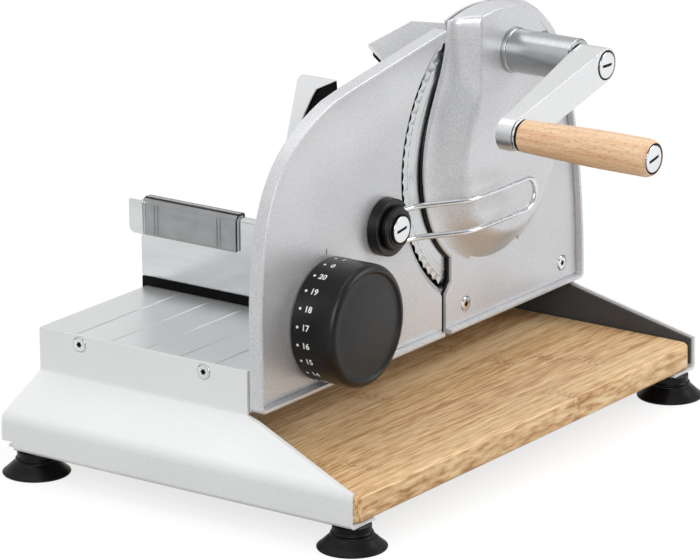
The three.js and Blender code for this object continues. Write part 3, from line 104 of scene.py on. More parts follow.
def band(a, countA, b, countB):  # faces between two rings of corners; a ring may be one point
    faces = []
    for i in range(max(countA, countB)):
        face = [a + i % countA, a + (i + 1) % countA, b + (i + 1) % countB, b + i % countB]
        faces.append(list(dict.fromkeys(face)))
    return [face for face in faces if len(face) > 2]


def applyModifiers(piece):
    bpy.context.view_layer.update()
    seen = piece.evaluated_get(bpy.context.evaluated_depsgraph_get())
    finished = bpy.data.meshes.new_from_object(seen)
    old = piece.data
    piece.modifiers.clear()
    piece.data = finished
    bpy.data.meshes.remove(old)
    finished.name = piece.name


def combine(piece, tools, operation="DIFFERENCE"):  # cuts or joins with each tool, which is then gone
    for tool in tools:
        step = piece.modifiers.new("combine", "BOOLEAN")
        step.operation = operation
        step.solver = "EXACT"
        step.object = tool
        applyModifiers(piece)
        bpy.data.objects.remove(tool)
    return piece


def softenEdges(piece, width, segments=3, angle=30):
    step = piece.modifiers.new("soften", "BEVEL")
    step.width = width * mm
    step.segments = segments
    step.limit_method = "ANGLE"
    step.angle_limit = math.radians(angle)
    applyModifiers(piece)
    return piece


def smoothShade(piece, material, sharp):
    piece.data.materials.clear()
    piece.data.materials.append(material)
    for face in piece.data.polygons:
        face.use_smooth = True
    piece.data.set_sharp_from_angle(angle=math.radians(sharp))


def dress(piece, material, *nodes, sharp=35):  # finish, body and the nodes it stands for
    smoothShade(piece, material, sharp)
    step = piece.modifiers.new("normals", "WEIGHTED_NORMAL")
    step.keep_sharp = True
    applyModifiers(piece)
    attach(piece, bodyOf[nodes[0]])
    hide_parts(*nodes)
    return piece


def dressTrim(piece, material, body):  # trim that stands for no node of its own
    smoothShade(piece, material, 35)
    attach(piece, body)
    return piece


def dressCopy(node, material, width, segments=3, angle=30, sharp=35):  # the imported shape, softened
    piece = newPiece(camelCase(node), frame["nodes"][node].data.copy(), 0.004, 0.7)
    return dress(softenEdges(piece, width, segments, angle), material, node, sharp=sharp)


def paintNode(node, material):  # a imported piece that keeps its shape
    frame["nodes"][node].data.materials.clear()
    frame["nodes"][node].data.materials.append(material)


def rounded(points, steps=6):  # path whose corners with a third number are rounded to that radius
    path = []
    for i, point in enumerate(points):
        here = Vector(point[:2])
        radius = point[2] if len(point) > 2 else 0
        if not radius or i in (0, len(points) - 1):
            path.append(here)
            continue
        back = (Vector(points[i - 1][:2]) - here).normalized()
        onward = (Vector(points[i + 1][:2]) - here).normalized()
        half = back.angle(onward) / 2
        reach = radius / math.tan(half)
        centre = here + (back + onward).normalized() * radius / math.sin(half)
        start = here + back * reach - centre
        end = here + onward * reach - centre
        first = math.atan2(start.y, start.x)
        sweep = (math.atan2(end.y, end.x) - first + math.pi) % (2 * math.pi) - math.pi
        for k in range(steps + 1):
            turn = first + sweep * k / steps
            path.append(centre + Vector((math.cos(turn), math.sin(turn))) * radius)
    return path


def quarter(steps):  # points of a round edge, each from its two faces, as shares of its radius
    turns = [math.pi / 2 * k / steps for k in range(steps + 1)]
    return [(1 - math.cos(turn), 1 - math.sin(turn)) for turn in turns]


def bezier(a, b, c, d, steps):
    points = []
    for k in range(steps + 1):
        t = k / steps
        weights = ((1 - t) ** 3, 3 * t * (1 - t) ** 2, 3 * t * t * (1 - t), t**3)
        points.append(sum((Vector(p) * w for p, w in zip((a, b, c, d), weights)), Vector((0, 0))))
    return points


def drawnIn(outline, amount):  # closed outline moved inwards
    points = [Vector(p) for p in outline]
    area = sum(points[i - 1].cross(points[i]) for i in range(len(points)))
    side = 1 if area > 0 else -1
    moved = []
    for i, here in enumerate(points):
        inward = (here - points[i - 1]).normalized()
        onward = (points[(i + 1) % len(points)] - here).normalized()
        mitre = Vector((-inward.y - onward.y, inward.x + onward.x)).normalized()
        stretch = 1 / max(mitre.dot(Vector((-inward.y, inward.x))), 0.4)
        moved.append(here + mitre * (amount * stretch * side))
    return moved


def plate(name, outline, rows, plane="xz"):  # closed body between loops; a row is how far in, and the depth
    corners = []
    for amount, depth in rows:
        for u, v in drawnIn(outline, amount) if amount else outline:
            corners.append((u, depth, v) if plane == "xz" else (u, v, depth))
    count = len(outline)
    last = len(corners) - count
    faces = [list(range(count))]
    for start in range(0, last, count):
        faces += band(start, count, start + count, count)
    faces.append(list(range(last, len(corners))))
    return meshFrom(name, corners, faces)


def bar(x0, x1, y0, y1, z0, z1):
    return plate("bar", [(x0, z0), (x1, z0), (x1, z1), (x0, z1)], [(0, y0), (0, y1)])


def turned(name, profile, centre, along="y", steps=96):  # profile lists radius and place along the axis
    x, y, z = centre
    closed = Vector(profile[0][:2]) == Vector(profile[-1][:2])
    points = profile[:-1] if closed else profile
    corners, rings = [], []
    for radius, place in points:
        count = 1 if radius < 1e-6 else steps
        rings.append((len(corners), count))
        for i in range(count):
            u = radius * math.cos(2 * math.pi * i / steps)
            v = radius * math.sin(2 * math.pi * i / steps)
            corners.append((x + u, place, z + v) if along == "y" else (x + u, y + v, place))
    faces = []
    for here, onward in zip(rings, rings[1:] + (rings[:1] if closed else [])):
        faces += band(*here, *onward)
    return meshFrom(name, corners, faces)


def rod(radius, centre, y0, y1, steps=48):
    return turned("rod", [(0, y0), (radius, y0), (radius, y1), (0, y1)], centre, steps=steps)


# Materials


def linear(code):  # sRGB hex to the linear values that shaders take
    parts = [int(code[i : i + 2], 16) / 255 for i in (1, 3, 5)]
    return [c / 12.92 if c <= 0.04045 else ((c + 0.055) / 1.055) ** 2.4 for c in parts] + [1]


def add(tree, kind, inputs, stops=(), **settings):  # a node with its settings, values, links and ramp stops
    made = tree.nodes.new("ShaderNode" + kind)
    for key, value in settings.items():
        setattr(made, key, value)
    for socket, value in inputs.items():
        if isinstance(value, str):
            value = linear(value)
        if isinstance(value, bpy.types.Node):
            value = value.outputs[0]
        if isinstance(value, bpy.types.NodeSocket):
            tree.links.new(value, made.inputs[socket])
        else:
            made.inputs[socket].default_value = value
    for i, (position, tone) in enumerate(stops):
        elements = made.color_ramp.elements
        element = elements[i] if i < len(elements) else elements.new(position)
        element.position = position
        element.color = linear(tone) if isinstance(tone, str) else (tone, tone, tone, 1)
    return made


def perMm(size):  # texture scale whose features are about that many millimetres
    return 1 / (size * mm)


def startMaterial(name, slot):
    material = bpy.data.materials.new(name)
    material.use_nodes = True
    material["slot"] = slot
    tree = material.node_tree
    tree.nodes.clear()
    return material, tree, add(tree, "TexCoord", {}).outputs["Object"]


def coat(tree, shader, pattern, gloss=(), depth=0, relief=1, start=0.3):
    # How most materials end: roughness and relief follow one pattern
    links = {}
    if gloss:
        links["Roughness"] = add(tree, "MapRange", {0: pattern, 1: start, 2: 0.7, 3: gloss[0], 4: gloss[1]})
    if depth:
        links["Normal"] = add(tree, "Bump", {"Height": pattern, "Strength": relief, "Distance": depth * mm})
    add(tree, "OutputMaterial", {"Surface": add(tree, "BsdfPrincipled", {**shader, **links})})


def grainAlong(tree, place, sizes, detail=3):  # noise with features of those lengths along X, Y and Z
    scaled = add(tree, "Mapping", {"Vector": place, "Scale": [perMm(size) for size in sizes]})
    return add(tree, "TexNoise", {"Vector": scaled, "Scale": 1, "Detail": detail})


def paintedMetal(name, slot, light, dark, grain, depth, metallic, roughness):
    # Fine metallic paint: tiny grains that catch the light, over a soft even sheen. The real grains
    # are too fine to show, so they are drawn about half a millimetre wide
    material, tree, place = startMaterial(name, slot)
    fine = add(tree, "TexNoise", {"Vector": place, "Scale": perMm(grain), "Detail": 2})
    broad = add(tree, "TexNoise", {"Vector": place, "Scale": perMm(60), "Detail": 1})
    mixed = add(tree, "Mix", {0: 0.2, 2: fine, 3: broad})
    tone = add(tree, "ValToRGB", {0: mixed}, [(0.34, dark), (0.66, light)])
    coat(tree, {"Metallic": metallic, "Base Color": tone}, fine, (roughness - 0.06, roughness + 0.06), depth)
    return material


def drawnMetal(name, slot, light, dark, roughness, lines, depth=0.002, metallic=1):
    # Bare metal with fine drawing or turning lines, drawn coarser than the real ones so that they show
    material, tree, place = startMaterial(name, slot)
    fibre = grainAlong(tree, place, lines)
    tone = add(tree, "ValToRGB", {0: fibre}, [(0.3, dark), (0.7, light)])
    shader = {"Metallic": metallic, "Base Color": tone}
    coat(tree, shader, fibre, (roughness + 0.04, roughness - 0.03), depth, 0.6)
    return material


def polishedDisc(name, slot, centre):
    # Ground blade steel: rings about the blade's axis from the grinding wheel, coarse enough to show
    material, tree, place = startMaterial(name, slot)
    offset = add(tree, "VectorMath", {0: place, 1: [-c * mm for c in centre]}, operation="ADD")
    flat = add(tree, "VectorMath", {0: offset, 1: (1, 0, 1)}, operation="MULTIPLY")
    radius = add(tree, "VectorMath", {0: flat}, operation="LENGTH").outputs["Value"]
    rings = add(tree, "TexNoise", {"W": radius, "Scale": perMm(0.7), "Detail": 3}, noise_dimensions="1D")
    tone = add(tree, "ValToRGB", {0: rings}, [(0.3, "#b9bbbd"), (0.7, "#d6d8d9")])
    coat(tree, {"Metallic": 1, "Base Color": tone}, rings, (0.3, 0.2))
    return material


def chromePlate(name, slot):
    # Mirror plating over pressed steel, with faint handling marks in its gloss
    material, tree, place = startMaterial(name, slot)
    marks = add(tree, "TexNoise", {"Vector": place, "Scale": perMm(3), "Detail": 4})
    coat(tree, {"Metallic": 1, "Base Color": "#dee0e2"}, marks, (0.08, 0.16), start=0.35)
    return material


def mouldedBlack(name, slot, light, dark, roughness, grain, depth, gloss=0.5):
    # Black plastic or rubber from a spark-eroded mould: a dull skin with tiny pits, drawn coarse
    # enough to show
    material, tree, place = startMaterial(name, slot)
    pits = add(tree, "TexNoise", {"Vector": place, "Scale": perMm(grain), "Detail": 2})
    tone = add(tree, "ValToRGB", {0: pits}, [(0.35, dark), (0.65, light)])
    shader = {"Specular IOR Level": gloss, "Base Color": tone}
    coat(tree, shader, pits, (roughness + 0.05, roughness - 0.04), depth)
    return material


bambooShape = {
    "strip": 21,
    "fibre": (15, 0.5, 3),
    "streak": (110, 3, 12),
    "nodeEvery": 230,
    "nodeHalf": 4,
    "speck": (4, 1.3, 4),
    "tones": [(0.36, "#a87b4b"), (0.43, "#cda372"), (0.52, "#e6c596"), (0.64, "#f5dcb8")],
    "nodeTone": "#9c6c3e",
}


def bambooBoard():
    # Laminated bamboo: strips side by side along X, short straight fibres, and a dark node band now and then
    material, tree, place = startMaterial("lacquered bamboo", "bamboo")
    parts = add(tree, "SeparateXYZ", {0: place})
    across = add(tree, "Math", {0: parts.outputs["Y"], 1: perMm(bambooShape["strip"])}, operation="MULTIPLY")
    strip = add(tree, "Math", {0: across}, operation="FLOOR")
    chance = add(tree, "TexWhiteNoise", {"W": strip}, noise_dimensions="1D").outputs["Value"]
    lift = add(tree, "CombineXYZ", {"X": chance, "Z": strip})
    shifted = add(tree, "VectorMath", {0: place, 1: lift}, operation="ADD").outputs[0]
    fibre = grainAlong(tree, shifted, bambooShape["fibre"], 4)
    streak = grainAlong(tree, shifted, bambooShape["streak"])
    grain = add(tree, "Mix", {0: 0.32, 2: fibre, 3: streak})
    toned = add(tree, "Mix", {0: 0.14, 2: grain, 3: chance})
    wood = add(tree, "ValToRGB", {0: toned}, bambooShape["tones"])
    lengths = {0: parts.outputs["X"], 1: perMm(bambooShape["nodeEvery"]), 2: chance}
    part = add(tree, "Math", {0: add(tree, "Math", lengths, operation="MULTIPLY_ADD")}, operation="FRACT")
    offset = add(tree, "Math", {0: part, 1: 0.5}, operation="SUBTRACT")
    away = add(tree, "Math", {0: offset}, operation="ABSOLUTE")
    reach = bambooShape["nodeHalf"] / bambooShape["nodeEvery"]
    band = add(tree, "MapRange", {0: away, 1: reach * 2.2, 2: reach * 0.4, 3: 0, 4: 1})
    speck = grainAlong(tree, shifted, bambooShape["speck"])
    flecked = add(tree, "MapRange", {0: speck, 1: 0.46, 2: 0.62, 3: 0, 4: 0.75})
    share = add(tree, "Math", {0: band, 1: flecked}, operation="MULTIPLY")
    marked = add(tree, "Mix", {0: share, 6: wood, 7: bambooShape["nodeTone"]}, data_type="RGBA")
    shader = {"Base Color": marked.outputs[2], "Coat Weight": 0.1, "Coat Roughness": 0.3}
    coat(tree, shader, fibre, (0.62, 0.5), 0.05, 0.5)
    return material


def beechWood():
    # Turned and lacquered beech: soft lengthwise grain with short dark flecks
    material, tree, place = startMaterial("lacquered beech", "beech")
    grain = grainAlong(tree, place, (2.4, 60, 2.4), 4)
    cloud = grainAlong(tree, place, (14, 40, 14), 4)
    fleck = grainAlong(tree, place, (0.45, 3.5, 0.45), 2)
    mixed = add(tree, "Mix", {0: 0.4, 2: grain, 3: cloud})
    wood = add(tree, "ValToRGB", {0: mixed}, [(0.34, "#d5a67c"), (0.5, "#e2bc95"), (0.66, "#eccfab")])
    share = add(tree, "MapRange", {0: fleck, 1: 0.57, 2: 0.64, 3: 0, 4: 0.6})
    marked = add(tree, "Mix", {0: share, 6: wood, 7: "#a9774c"}, data_type="RGBA")
    shader = {"Base Color": marked.outputs[2], "Roughness": 0.42, "Coat Weight": 0.3, "Coat Roughness": 0.2}
    coat(tree, shader, fleck, depth=0.05, relief=0.4)
    return material


def smokyAcrylic():
    # Smoke-tinted clear plastic: the metal behind shows through in dull grey
    material, tree, place = startMaterial("smoky acrylic", "smoked")
    haze = add(tree, "TexNoise", {"Vector": place, "Scale": perMm(8), "Detail": 2})
    tone = add(tree, "ValToRGB", {0: haze}, [(0.3, "#eceded"), (0.7, "#f4f4f5")])
    shine = add(tree, "MapRange", {0: haze, 1: 0.3, 2: 0.7, 3: 0.05, 4: 0.1})
    clear = {"IOR": 1.49, "Transmission Weight": 1, "Base Color": tone, "Roughness": shine}
    smoke = add(tree, "VolumeAbsorption", {"Color": "#bcbcbc", "Density": 220})
    add(tree, "OutputMaterial", {"Surface": add(tree, "BsdfPrincipled", clear), "Volume": smoke})
    return material


def printedInk(name, slot, code):
    # Pad-printed ink: flat colour with a slightly uneven film
    material, tree, place = startMaterial(name, slot)
    film = add(tree, "TexNoise", {"Vector": place, "Scale": perMm(0.5), "Detail": 2})
    coat(tree, {"Base Color": code}, film, (0.4, 0.55))
    return material


bladeMiddle = middleOf("blade")
powder = {"grain": 0.5, "depth": 0.02, "metallic": 0.2, "roughness": 0.48}
powderPaint = paintedMetal("silver powder paint", "silver_paint", "#e9eaeb", "#dcdddd", **powder)
casting = {"grain": 0.6, "depth": 0.02, "metallic": 0.5, "roughness": 0.38}
castPaint = paintedMetal("silver paint on die casting", "cast_silver", "#e0e1e3", "#bcbdc0", **casting)
# bright paint for the food holder's cheek: the lit copy beside the darker cast paint on its roof
bright = {"grain": 0.5, "depth": 0.015, "metallic": 0.1, "roughness": 0.42}
brightPaint = paintedMetal("bright silver paint", "cast_silver", "#f6f7f8", "#eeeff0", **bright)
brushed = {"roughness": 0.31, "lines": (90, 0.7, 0.7), "depth": 0.0012, "metallic": 0.65}
anodised = drawnMetal("anodised aluminium", "satin_metal", "#e2e4e5", "#dbddde", **brushed)
rolled = {"roughness": 0.17, "lines": (1, 40, 6), "metallic": 0.8}
brightAnodised = drawnMetal("bright anodised aluminium", "satin_metal", "#d6d8d9", "#cdcfd0", **rolled)
lathe = {"roughness": 0.24, "lines": (20, 1.2, 20), "depth": 0.0004}
turnedAluminium = drawnMetal("turned aluminium", "satin_metal", "#b4b6b8", "#aeb0b2", **lathe)
satin = {"roughness": 0.33, "lines": (0.8, 0.8, 0.8), "depth": 0.004}
castAluminium = drawnMetal("satin cast aluminium", "satin_metal", "#e4e5e6", "#d8d9da", **satin)
machined = drawnMetal("machined steel", "steel", "#b9bcbf", "#94979a", 0.32, (0.5, 20, 0.5), 0.004)
chrome = chromePlate("bright chrome", "chrome")
groundSteel = polishedDisc("ground blade steel", "chrome", bladeMiddle)
absBlack = mouldedBlack("black moulded ABS", "black_plastic", "#080809", "#040405", 0.36, 0.5, 0.01, 0.4)
glossBlack = mouldedBlack("black acetal", "black_plastic", "#050506", "#020202", 0.3, 0.8, 0.004, 0.08)
rubber = mouldedBlack("black rubber", "rubber", "#08080a", "#040405", 0.34, 1.2, 0.015, 0.18)
# dark grey sheet that paints the shade inside the right bracket's slanted end
bracketShadeSheet = mouldedBlack("dark grey sheet, painted shade in the right bracket", "liner", "#424345", "#37383a", 0.5, 0.8, 0.02)
nylon = mouldedBlack("natural nylon", "gear_plastic", "#e9e4d9", "#dcd6c9", 0.45, 1, 0.02)
bamboo = bambooBoard()
beech = beechWood()
smoky = smokyAcrylic()
whiteInk = printedInk("white pad print", "black_plastic", "#f2f2f0")
blackInk = printedInk("black pad print", "black_plastic", "#1d1d1f")
print("materials ready")


# Base

boardShape = {"corner": 8, "edge": 2.2}


def buildBoard():
    low, high = boxOf("base_board")
    edge = boardShape["edge"]
    start = (low.x, (low.y + high.y) / 2)
    places = ((low.x, low.y), (high.x, low.y), (high.x, high.y), (low.x, high.y))
    corners = [(x, y, boardShape["corner"]) for x, y in places]
    outline = rounded([start, *corners, start], 14)[:-1]
    rows = [(edge * s, low.z + edge * c) for c, s in quarter(6)]
    rows += [(edge * c, high.z - edge * s) for c, s in quarter(6)]
    dress(plate("baseBoard", outline, rows, "xy"), bamboo, "base_board")


footShape = {
    "recess": 4.2,  # room for the screw
    "floor": 5,
    "neck": 10.9,
    "outline": [  # radius, height above the worktop, rounding
        (9, 2.2),
        (17.8, 0),
        (19.1, 0, 0.4),
        (19.6, 1, 0.5),
        (16.8, 3.3, 6),
        (13.3, 6.6, 4),
        (11.1, 8.2, 1),
        (12.1, 9.2, 0.8),
        (10.9, 10.2, 0.6),
    ],
}


def buildFoot(node):
    low, high = boxOf(node)
    recess, neck = footShape["recess"], footShape["neck"]
    outline = [(p[0], low.z + p[1], *p[2:]) for p in footShape["outline"]]
    start = (recess, low.z + footShape["floor"])
    profile = rounded([start, (recess, low.z + 2.8), *outline, (neck, high.z), (recess, high.z), start], 5)
    dress(turned(camelCase(node), profile, middleOf(node), "z", 72), rubber, node)


def buildBase():
    buildBoard()
    for end in ("front", "rear"):
        for side in ("left", "right"):
            buildFoot(f"foot_{end}_{side}")
            paintNode(f"foot_screw_{end}_{side}", machined)
    dressCopy("left_bracket", powderPaint, 0.4, sharp=40)
    dressCopy("right_bracket", powderPaint, 0.4, sharp=40)
    # the liner's dark grey is painted shade inside the right bracket's slanted end
    dressCopy("side_liner", bracketShadeSheet, 0.25, 2)
    print("base ready")


# Screws

lobedShape = {
    "head": 4.3,
    "thick": 1.3,
    "lobe": 1.95,
    "valley": 1.3,
    "recess": 0.95,
    "dark": 0.5,  # how deep the black star of painted shade sits in the recess
    "shank": 2,
}


def starPlate(name, inset, front, back):
    star = []
    for i in range(72):
        turn = 2 * math.pi * i / 72
        swing = (1 + math.cos(6 * turn)) / 2
        radius = lobedShape["valley"] + (lobedShape["lobe"] - lobedShape["valley"]) * swing - inset
        star.append((radius * math.cos(turn), radius * math.sin(turn)))
    return plate(name, star, [(0, front), (0, back)])


def placeScrew(node, turn):  # drawn along Y with the front of its head at Y 0, then turned about Z
    low, high = boxOf(node)
    spin = Matrix.Rotation(math.radians(turn), 4, "Z")
    along = spin @ Vector((0, 1, 0))
    length = abs((high - low).dot(along))
    place = Matrix.Translation(((low + high) / 2 - along * length / 2) * mm) @ spin
    wide, thick, shank = lobedShape["head"], lobedShape["thick"], lobedShape["shank"]
    crown = [(0, 0), (wide * 0.75, 0, 1.5), (wide, 0.4, 0.5), (wide, thick)]
    profile = rounded([*crown, (shank, thick), (shank, length), (0, length)], 5)
    screw = turned(camelCase(node), profile, (0, 0, 0), steps=64)
    combine(screw, [starPlate("star", 0, -1, lobedShape["recess"])])
    # painted shade: a black star inside the recess darkens it where its shadow falls
    dark = starPlate(screw.name + "Star", 0.04, lobedShape["dark"], lobedShape["recess"] - 0.02)
    for piece in (screw, dark):
        piece.data.transform(place)
    dress(screw, chrome, node)
    dressTrim(dark, glossBlack, bodyOf[node])


def buildScrews():
    for end in ("front", "rear"):
        placeScrew(f"table_screw_{end}_left", -90)
        placeScrew(f"table_screw_{end}_right", 90)
    for side in ("left", "right"):
        placeScrew(f"housing_screw_{side}", 0)
    print("screws ready")


capShape = {
    "radius": 7.7,
    "ring": 8.65,  # outside of the black ring round it
    "thick": 2.8,
    "edge": 0.6,
    "stem": 2.2,
    "slot": 1.7,
    "slotDepth": 1.5,
    "reach": 0.7,  # how far the slot runs out, as a share of the radius
}


def slottedCap(node, slotTurn):
    low, high = boxOf(node)
    middle = (low + high) / 2
    radius, stem, front = capShape["radius"], capShape["stem"], low.y
    back = front + capShape["thick"]
    face = [(0, front), (radius * 0.6, front + 0.1), (radius, front + 0.35, capShape["edge"]), (radius, back)]
    cap = turned(camelCase(node), rounded([*face, (stem, back), (stem, high.y), (0, high.y)], 6), middle)
    reach, depth, half = radius * capShape["reach"], capShape["slotDepth"], capShape["slot"] / 2
    cutter = (reach * reach + depth * depth) / (2 * depth)
    turn = Matrix.Rotation(math.radians(-slotTurn), 4, "Y")
    slot = turned("slot", [(0, -half), (cutter, -half), (cutter, half), (0, half)], (0, 0, 0), "z")
    place = Matrix.Translation(Vector((middle.x, front + depth - cutter, middle.z)) * mm)
    slot.data.transform(place @ turn)
    dress(combine(cap, [slot]), chrome, node)
    lens = []  # the slot's dark inside: painted shade, a black lens sunk in the slot where its shadow falls
    for side in (1, -1):
        for k in range(12):
            along = side * reach * 0.97 * math.cos(math.pi * k / 12)
            lens.append((along, side * half * 0.96 * math.sin(math.pi * k / 12)))
    dark = plate(f"{cap.name}Slot", lens, [(0, 0.35), (0, 0.6)])
    dark.data.transform(Matrix.Translation(Vector((middle.x, front, middle.z)) * mm) @ turn)
    dressTrim(dark, glossBlack, bodyOf[node])


# Table, stop plate and dial

stopShape = {
    "bendFoot": 42.5,  # straight part of the left edge
    "bend": ((-0.4, 119.6), (17.8, 145.3), (68, 162.7)),
    "top": ((84, 166.1), (124, 172.8)),
    "tipBack": 2.1,  # how much narrower it is above the blade's axis
    "footCorner": 4,
    "rimRound": 0.8,
    "rim": 2.4,
    "groove": 0.5,  # at the foot of the rim
    "faceDepth": 5,
    "rimEnd": 3.6,
    "bladeGap": 2.2,
    "bladeBevel": 3.8,
    "bevelDeep": 2.6,
    "beyond": 14,
    "clearance": 0.3,
    "followerBore": 3.6,
    "pivotSeat": 9,
    "pivotBore": 5.3,
    "screwBore": 3,
}


def buildStopPlate():
    low, high = boxOf("stop_plate")
    width, height = high.x - low.x, high.z - low.z
    tip = width - stopShape["tipBack"]
    beyond = width + stopShape["beyond"]
    slope = (height - stopShape["top"][1][1]) / (tip - stopShape["top"][1][0])
    foot = rounded([(beyond, 0), (0, 0, stopShape["footCorner"]), (0, stopShape["bendFoot"])], 8)
    bend = bezier((0, stopShape["bendFoot"]), *stopShape["bend"], 40)
    outline = [*foot, *bend[1:], *stopShape["top"], (tip, height), (beyond, height + slope * (beyond - tip))]
    outline = [(low.x + p[0], low.z + p[1]) for p in outline]
    front, rear = low.y, high.y
    face = front + stopShape["faceDepth"]
    radius, rim = stopShape["rimRound"], stopShape["rim"]
    rows = [(0.5, rear), (0.15, rear - 0.15), (0, rear - 0.5)]
    rows += [(radius * c, front + radius * s) for c, s in quarter(6)]
    rows += [(rim - 0.5, front), (rim - 0.15, front + 0.12), (rim, front + 0.45)]
    groove = stopShape["groove"]
    rows += [(rim + 0.1, face + groove), (rim + 0.1 + groove, face + groove), (rim + 0.2 + groove, face)]
    body = plate("stopPlate", outline, rows)
    axis = middleOf("blade")
    ring = radiusOf("blade") + stopShape["bladeGap"]
    wide = ring + stopShape["bladeBevel"]
    mouth = [(0, front - 1), (wide + 0.5, front - 1), (wide + 0.5, face - 0.02), (wide - 0.1, face + 0.1)]
    mouth += [(ring, face + stopShape["bevelDeep"]), (ring, rear + 1), (0, rear + 1)]
    edge, far = low.x + width, low.x + beyond + 5
    cuts = [
        bar(low.x + tip, far, front - 2, rear + 2, axis.z, high.z + 30),
        bar(edge, far, front - 2, rear + 2, low.z - 5, axis.z + 1),
        bar(edge - stopShape["rimEnd"], edge + 1, front - 1, face - 0.02, low.z - 5, axis.z),
        turned("room", mouth, axis, steps=240),
    ]
    gap, pivot = stopShape["clearance"], middleOf("dial_pivot")
    for node in ("guide_rod_left", "guide_rod_right"):
        cuts.append(rod(radiusOf(node) + gap, middleOf(node), boxOf(node)[0].y - gap, rear + 1))
    follower = (middleOf("dial_follower").x, 0, boxOf("dial_follower")[0].z + 5)
    cuts.append(rod(stopShape["followerBore"], follower, face - 1, rear + 1))
    cuts.append(rod(stopShape["pivotSeat"], pivot, rear - 1.3, rear + 1))
    cuts.append(rod(stopShape["pivotBore"], pivot, face - 1, rear))
    cuts.append(rod(stopShape["screwBore"], middleOf("deflector_cap"), face - 1, rear + 1))
    dress(combine(body, cuts), castPaint, "stop_plate")


dialShape = {
    "ridge": 31,
    "dip": 1.6,  # groove inside the rim, round a slightly domed face
    "wall": 3,
    "web": 4.3,
    "hub": 9,
    "bore": 5.3,
    "divisions": 21,
    "firstMark": 13.8,  # degrees from the top to the number 0
    "dotBack": 4.5,  # dots, from the rear edge
    "numberBack": 10,  # middle of the numbers, from the rear edge
    "dotRadius": 0.8,
    "numberHeight": 3.6,
    "numberWeight": 0.1,
    "film": 0.08,
}


def buildDial():
    low, high = boxOf("dial")
    middle, radius = middleOf("dial"), radiusOf("dial")
    front, back = low.y, high.y
    ridge, wall = dialShape["ridge"], dialShape["wall"]
    edge, dip = radius - ridge, dialShape["dip"]
    inset = ridge - 1.5
    profile = [(inset * k / 12, front + 0.05 + dip * (k / 12) ** 2) for k in range(12)]
    profile += [(inset, front + dip * 0.85), (ridge - 0.7, front + dip * 0.3), (ridge - 0.1, front)]
    profile += [(radius - edge * s, front + edge * c) for c, s in quarter(10)[1:]]
    inner, web, hub, bore = radius - wall, front + dialShape["web"], dialShape["hub"], dialShape["bore"]
    profile += [(radius, back - 0.6), (radius - 0.2, back - 0.15), (radius - 0.6, back), (inner, back)]
    profile += [(inner, web), (hub, web), (hub, back), (bore, back), (bore, web + 1), (0, web + 1)]
    dress(turned("dial", profile, middle, steps=160), absBlack, "dial")
    marks, count, film = [], dialShape["divisions"], dialShape["film"] * mm
    for k in range(count):
        turn = math.radians(dialShape["firstMark"]) + 2 * math.pi * k / count
        text = bpy.data.curves.new("number", "FONT")
        text.body = str((count - k) % count)
        text.size = dialShape["numberHeight"] * 1.4 * mm
        text.align_x = "CENTER"
        text.align_y = "CENTER"
        text.extrude = film
        text.offset = dialShape["numberWeight"] * mm
        text.resolution_u = 3
        letters = newObject("number", text)
        bpy.context.view_layer.update()
        mesh = bpy.data.meshes.new_from_object(letters.evaluated_get(bpy.context.evaluated_depsgraph_get()))
        bpy.data.objects.remove(letters)
        dot = bmesh.new()
        dot.from_mesh(mesh)
        for vertex in dot.verts:
            vertex.co.x += (dialShape["numberBack"] - back) * mm
        place = Matrix.Translation(((dialShape["dotBack"] - back) * mm, 0, 0))
        size = dialShape["dotRadius"] * mm
        disc = {"cap_ends": True, "segments": 20, "radius1": size, "radius2": size, "depth": 2 * film}
        bmesh.ops.create_cone(dot, matrix=place, **disc)
        for vertex in dot.verts:  # bent round the dial's side
            around = turn - vertex.co.y / (radius * mm)
            reach = radius * mm + vertex.co.z
            x, z = middle.x * mm - reach * math.sin(around), middle.z * mm + reach * math.cos(around)
            vertex.co = (x, -vertex.co.x, z)
        dot.to_mesh(mesh)
        dot.free()
        marks.append(newObject("number", mesh))
    with bpy.context.temp_override(active_object=marks[0], selected_editable_objects=marks, object=marks[0]):
        bpy.ops.object.join()
    marks[0].name = "dialNumbers"
    marks[0].data.name = "dialNumbers"
    dressTrim(marks[0], whiteInk, "dial_knob")


tickShape = {"offset": 3.5, "width": 0.65, "bottom": 35.6, "top": 39, "film": 0.06}


def buildTick():
    middle = middleOf("dial")
    face = boxOf("stop_plate")[0].y + stopShape["faceDepth"]
    x = middle.x + tickShape["offset"]
    half = tickShape["width"] / 2
    bottom, top = middle.z + tickShape["bottom"], middle.z + tickShape["top"]
    tick = bar(x - half, x + half, face - tickShape["film"], face + 0.2, bottom, top)
    tick.name = "indexTick"
    dressTrim(tick, blackInk, "stop")


def buildFront():
    dressCopy("table_plate", anodised, 0.3, 2, 25)
    buildStopPlate()
    buildDial()
    buildTick()
    for side in ("left", "right"):
        node = f"guide_rod_{side}"
        low, high = boxOf(node)
        radius, rear = radiusOf(node), high.y
        profile = [(0, low.y), (radius, low.y), (radius, rear - 0.8), (radius - 0.8, rear), (0, rear)]
        dress(turned(camelCase(node), profile, middleOf(node), steps=48), machined, node)
        paintNode(f"guide_bush_{side}", absBlack)
    for node, material in (("dial_follower", machined), ("dial_pivot", machined), ("dial_cam", nylon)):
        paintNode(node, material)
    print("table, stop plate and dial ready")


# Housing, blade and drive

